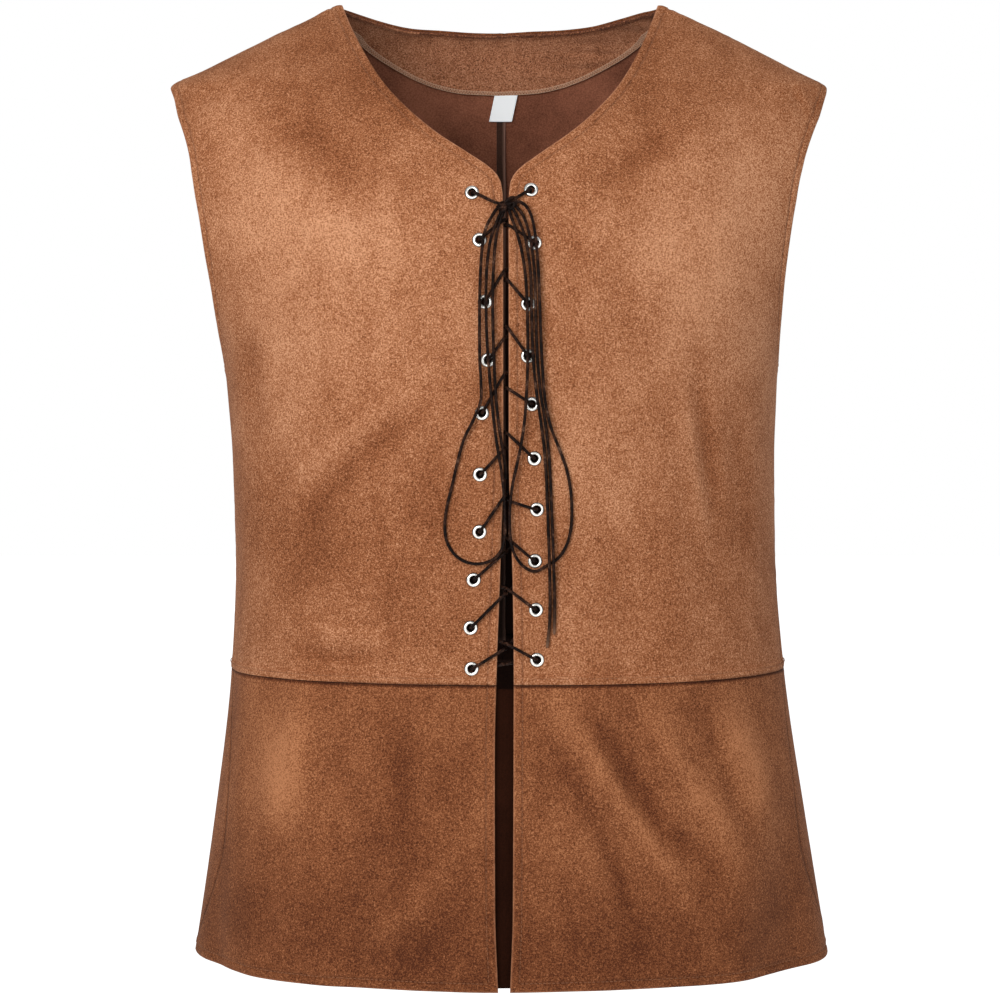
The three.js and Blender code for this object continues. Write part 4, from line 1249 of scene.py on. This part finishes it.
def lacing_route(first_side):
    """Half of the lacing, from the bar behind the lowest pair, crossing at every pair, to the knot."""
    side = first_side
    middle_at = lambda z: float(opening_middle_at(z * MM)) / MM
    came = (middle_at(EYELET_PAIRS[-1][1]) + side * LOWEST_BAR[0], LOWEST_BAR[1])
    points = [front_mm(*came, -4.7)]
    for k in range(len(EYELET_PAIRS) - 1, -1, -1):
        x, z, slit_z = EYELET_PAIRS[k][3:] if side > 0 else EYELET_PAIRS[k][:3]
        points += [towards(x, z, *came, distance, lift) for distance, lift in ENTRY]
        slit = (middle_at(slit_z), slit_z) if k else KNOT_ENDS[side]
        points += [towards(x, z, *slit, distance, lift) for distance, lift in EXIT]
        if k:
            points += [front_mm(slit[0] + 0.6 * side, slit[1], 1.6), front_mm(slit[0] - 0.6 * side, slit[1], -3.6)]
        else:
            points += [front_mm(*slit, 4.2), front_mm(KNOT[0] + side, KNOT[1] + 0.5 * side, KNOT[2])]
        came, side = slit, -side
    return curve_through(points, 1.0 * MM)


def lace(name, line, free_end=False):
    """A round waxed lace: its twist and its pale tip are kept as layers for the material."""
    sides, length = LACE_SIDES, lengths_along(line)
    uneven = 1 + 0.035 * np.sin(length / 0.004) + 0.02 * np.sin(length / 0.0013 + 1)
    left = length[-1] - length
    if free_end:
        uneven = uneven * (0.35 + 0.65 * np.sqrt(np.clip(left / 0.0016, 0, 1)))
    obj = swept(name, tube_points(line, LACE_RADIUS, sides, uneven))
    turn = np.tile(np.linspace(0, 2 * math.pi, sides + 1)[:-1], len(line))
    store(obj, "twist", np.cos(2 * turn + np.repeat(length, sides) / 0.00055))
    store(obj, "tip", np.repeat(np.exp(-left / 0.006) if free_end else np.zeros(len(line)), sides))
    return obj


laces = {name: lacing_route(side) for name, side in (("lacing_one", -1), ("lacing_two", 1))}
for name, route in BOW_CORDS.items():
    laces[name] = curve_through(on_front(*(np.array(route).T * MM)))
lace_pieces = {name: lace(f"cord_{name}", line, name in FREE_ENDS) for name, line in laces.items()}

_, knot_out, _ = stand_on(KNOT[0] * MM, KNOT[1] * MM)
knot_middle = front_mm(*KNOT)
SLANT = np.array([0.9, 0, 0.42])
knot_along = normalised(SLANT - knot_out * (SLANT @ knot_out))
knot_up = np.cross(knot_out, knot_along)
KNOT_SAMPLES = 0.9 * MM


def knot_turn(name, reach, turn, shift):
    """One overhand turn of the lace, pressed flat: reach and shift are along the knot, up and out."""
    t = np.linspace(0, 2 * math.pi, 120)[:, None]
    a, b, c = np.sin(t) + 2 * np.sin(2 * t), np.cos(t) - 2 * np.cos(2 * t), -np.sin(3 * t)
    a, b = a * math.cos(turn) - b * math.sin(turn), a * math.sin(turn) + b * math.cos(turn)
    offset = knot_along * (a * reach[0] + shift[0]) + knot_up * (b * reach[1] + shift[1])
    line = knot_middle + MM * (offset + knot_out * (c * reach[2] + shift[2]))
    return lace(name, curve_through(line, KNOT_SAMPLES))


knot_wraps = knot_turn("knot_wraps", (2.5, 1.25, 1.5), 0.2, (0.2, 0, 0.6))
knot_strands = [
    knot_turn("knot_turn_inner", (1.8, 1.05, 1.2), 1.3, (-2, -0.3, 0.1)),
    knot_turn("knot_turn_outer", (1.5, 0.95, 1.1), 2.5, (3, 0.4, 0.2)),
]


def strand_through(name, start, end, bow, drop):
    """A short strand across the knot that bows out of it and drops from one end to the other."""
    t = np.linspace(0, 1, 14)[:, None]
    line = knot_middle + knot_along * (start + (end - start) * t) * MM + knot_out * (bow * np.sin(math.pi * t)) * MM
    line = line + knot_up * (drop * np.cos(math.pi * t)) * MM
    return lace(name, curve_through(line, KNOT_SAMPLES))


knot_strands += [
    strand_through("knot_strand_one", -7.6, 7.8, 1.8, 1.2),
    strand_through("knot_strand_two", -6.8, 7.2, -0.9, -1.4),
]

# ---------------------------------------------------------------- materials of thread, lace, metal and label
def thread_material(name, colour, pale):
    def values(n):
        twist = n.noise(2600, 2, 0.6)
        return {
            "Base Color": n.ramp(twist, (0.3, colour), (0.7, pale)), "Roughness": 0.75, "Specular IOR Level": 0.3,
            "Normal": n.bumps((twist, 0.5, 0.0002)),
        }

    return material_with(name, values)


def lace_values(n):
    """Dark waxed cord: twisted fibres, greyer in random rubbed patches that are partly wear and partly painted
    highlights, pale at a cut end.
    """
    twist, rub_and_glint, fibre = n.layer("twist"), n.noise(130, 3, 0.65), n.noise(1900, 2, 0.6)
    value = n.maths("ADD", n.spread(rub_and_glint, 0.36, 0.68, 0, 0.7), n.spread(twist, -1, 1, 0, 0.22))
    value = n.maths("ADD", value, n.spread(fibre, 0.3, 0.7, -0.12, 0.18))
    tones = (0.0, srgb(8, 4, 3)), (0.4, srgb(24, 12, 8)), (0.75, srgb(62, 38, 27)), (1.0, srgb(126, 96, 78))
    tip = n.maths("MULTIPLY", n.layer("tip"), 0.8)
    return {
        "Base Color": n.mix(tip, n.ramp(value, *tones), srgb(150, 112, 88)),
        "Roughness": n.spread(rub_and_glint, 0.3, 0.7, 0.3, 0.5), "Specular IOR Level": 0.07,
        "Normal": n.bumps((twist, 0.5, 0.0004), (fibre, 0.3, 0.0002)),
    }


def metal_values(n):
    """Polished nickel with faint wear, and painted shade round its foot and in its bore."""
    wear = n.noise(420, 4, 0.6)
    bright = n.ramp(wear, (0.3, (0.78, 0.76, 0.71, 1)), (0.75, (0.95, 0.94, 0.9, 1)))
    return {
        "Base Color": n.mix(n.layer("foot_and_bore_shade"), bright, (0.035, 0.028, 0.022, 1)),
        "Roughness": n.spread(wear, 0.3, 0.8, 0.2, 0.38), "Metallic": 1,
        "Normal": n.bumps((n.noise(900, 2, 0.5), 0.08, 0.0001)),
    }


def label_values(n):
    """White woven satin with a fine rib, and a faint glow that is painted light."""
    weave = n.maths("MULTIPLY", n.bands("X", 520, 0.4), n.bands("Z", 420, 0.4))
    return {
        "Base Color": n.ramp(weave, (0.0, srgb(238, 241, 242)), (1.0, srgb(253, 254, 254))),
        "Roughness": 0.45, "Sheen Weight": 0.2,
        "Emission Color": (0.94, 0.98, 1, 1), "Emission Strength": 0.22,  # painted light: a faint glow that brightens the label
        "Normal": n.bumps((weave, 0.25, 0.0002)),
    }


THREAD = thread_material("brown_thread", srgb(116, 72, 46), srgb(172, 116, 80))
PALE_THREAD = thread_material("pale_thread", srgb(172, 128, 98), srgb(234, 196, 166))
LACE = material_with("dark_lace", lace_values)


# ---------------------------------------------------------------- every other piece gets its material and node
def dress(obj, material, slot, *nodes):
    obj.data.materials.clear()
    obj.data.materials.append(material)
    finish_piece(obj, slot, *nodes)


# The seam allowance has the dark tones of the shaded inside: painted shade.
raw = backing("allowance_back", srgb(48, 28, 20), srgb(84, 54, 40), raw_edge=srgb(150, 112, 96))
dress(allowance, raw, "bodice_suede")
for band in waist_allowances:
    dress(band, INSIDE, "bodice_suede")
# The underlap is near-black: painted shade of the dark gap behind the opening.
dress(front_underlap, backing("underlap_painted_shade", srgb(30, 13, 7), srgb(52, 25, 14), 0.1), "skirt_suede")
dress(label, material_with("woven_label", label_values), "label_satin", "care_label")
dress(bodice_stitches, THREAD, "bodice_suede")
dress(skirt_stitches, THREAD, "skirt_suede")
dress(facing_overlock, PALE_THREAD, "facing_suede")
nickel = material_with("nickel", metal_values)
for ring, name in rings:
    dress(ring, nickel, "eyelet_metal", name)
for name, piece in lace_pieces.items():
    dress(piece, LACE, "lace_cord", *([] if name == "lace_tucked" else [name]))
dress(knot_wraps, LACE, "lace_cord", "lace_knot")
for strand in knot_strands:
    dress(strand, LACE, "lace_cord")

for name in BOW_CORDS:
    route = [tuple(map(float, point)) for point in laces[name]]

# ---------------------------------------------------------------- floor and light
FLOOR_HALF, FLOOR_Z = 14, -1.45
corners = [(x * FLOOR_HALF, y * FLOOR_HALF, FLOOR_Z) for x, y in ((-1, -1), (1, -1), (1, 1), (-1, 1))]
floor = mesh_object("floor", corners, [(0, 1, 2, 3)], False)
PALE = {
    "Base Color": (0.93, 0.93, 0.93, 1), "Roughness": 0.9,
    "Emission Color": (1, 1, 1, 1), "Emission Strength": 0.8,
}
floor.data.materials.append(material_with("pale_floor", lambda n: PALE))
floor.visible_diffuse = False  # so that it lights the vest no more than the room does

LIGHTS = [  # name, place, what it faces, size, power
    ("key", (-0.6, -1.45, 0.06), (-0.02, 0, -0.17), 0.8, 15),
    ("fill", (1.2, -1.9, 0.0), (0, 0, -0.25), 1.4, 8.5),
    ("top", (0, 0.4, 1.9), (0, 0, -0.35), 1.6, 2.5),
]
for name, place, target, size, power in LIGHTS:
    light = bpy.data.lights.new(name, "AREA")
    light.shape, light.size, light.energy = "SQUARE", size, power
    lamp = bpy.data.objects.new(name, light)
    lamp.location = place
    lamp.rotation_euler = (Vector(target) - Vector(place)).to_track_quat("-Z", "Y").to_euler()
    bpy.context.scene.collection.objects.link(lamp)
ROOM_LIGHT = 0.38
world = bpy.data.worlds.new("studio")
bpy.context.scene.world = world
world.use_nodes = True
room = Nodes(world.node_tree, False)
seen = room.add("ShaderNodeLightPath").outputs["Is Camera Ray"]
room.give(room.nodes["Background"], {"Color": (1, 1, 1, 1), "Strength": room.spread(seen, 0, 1, ROOM_LIGHT, 1.0)})
bpy.context.scene.view_settings.view_transform = "Standard"
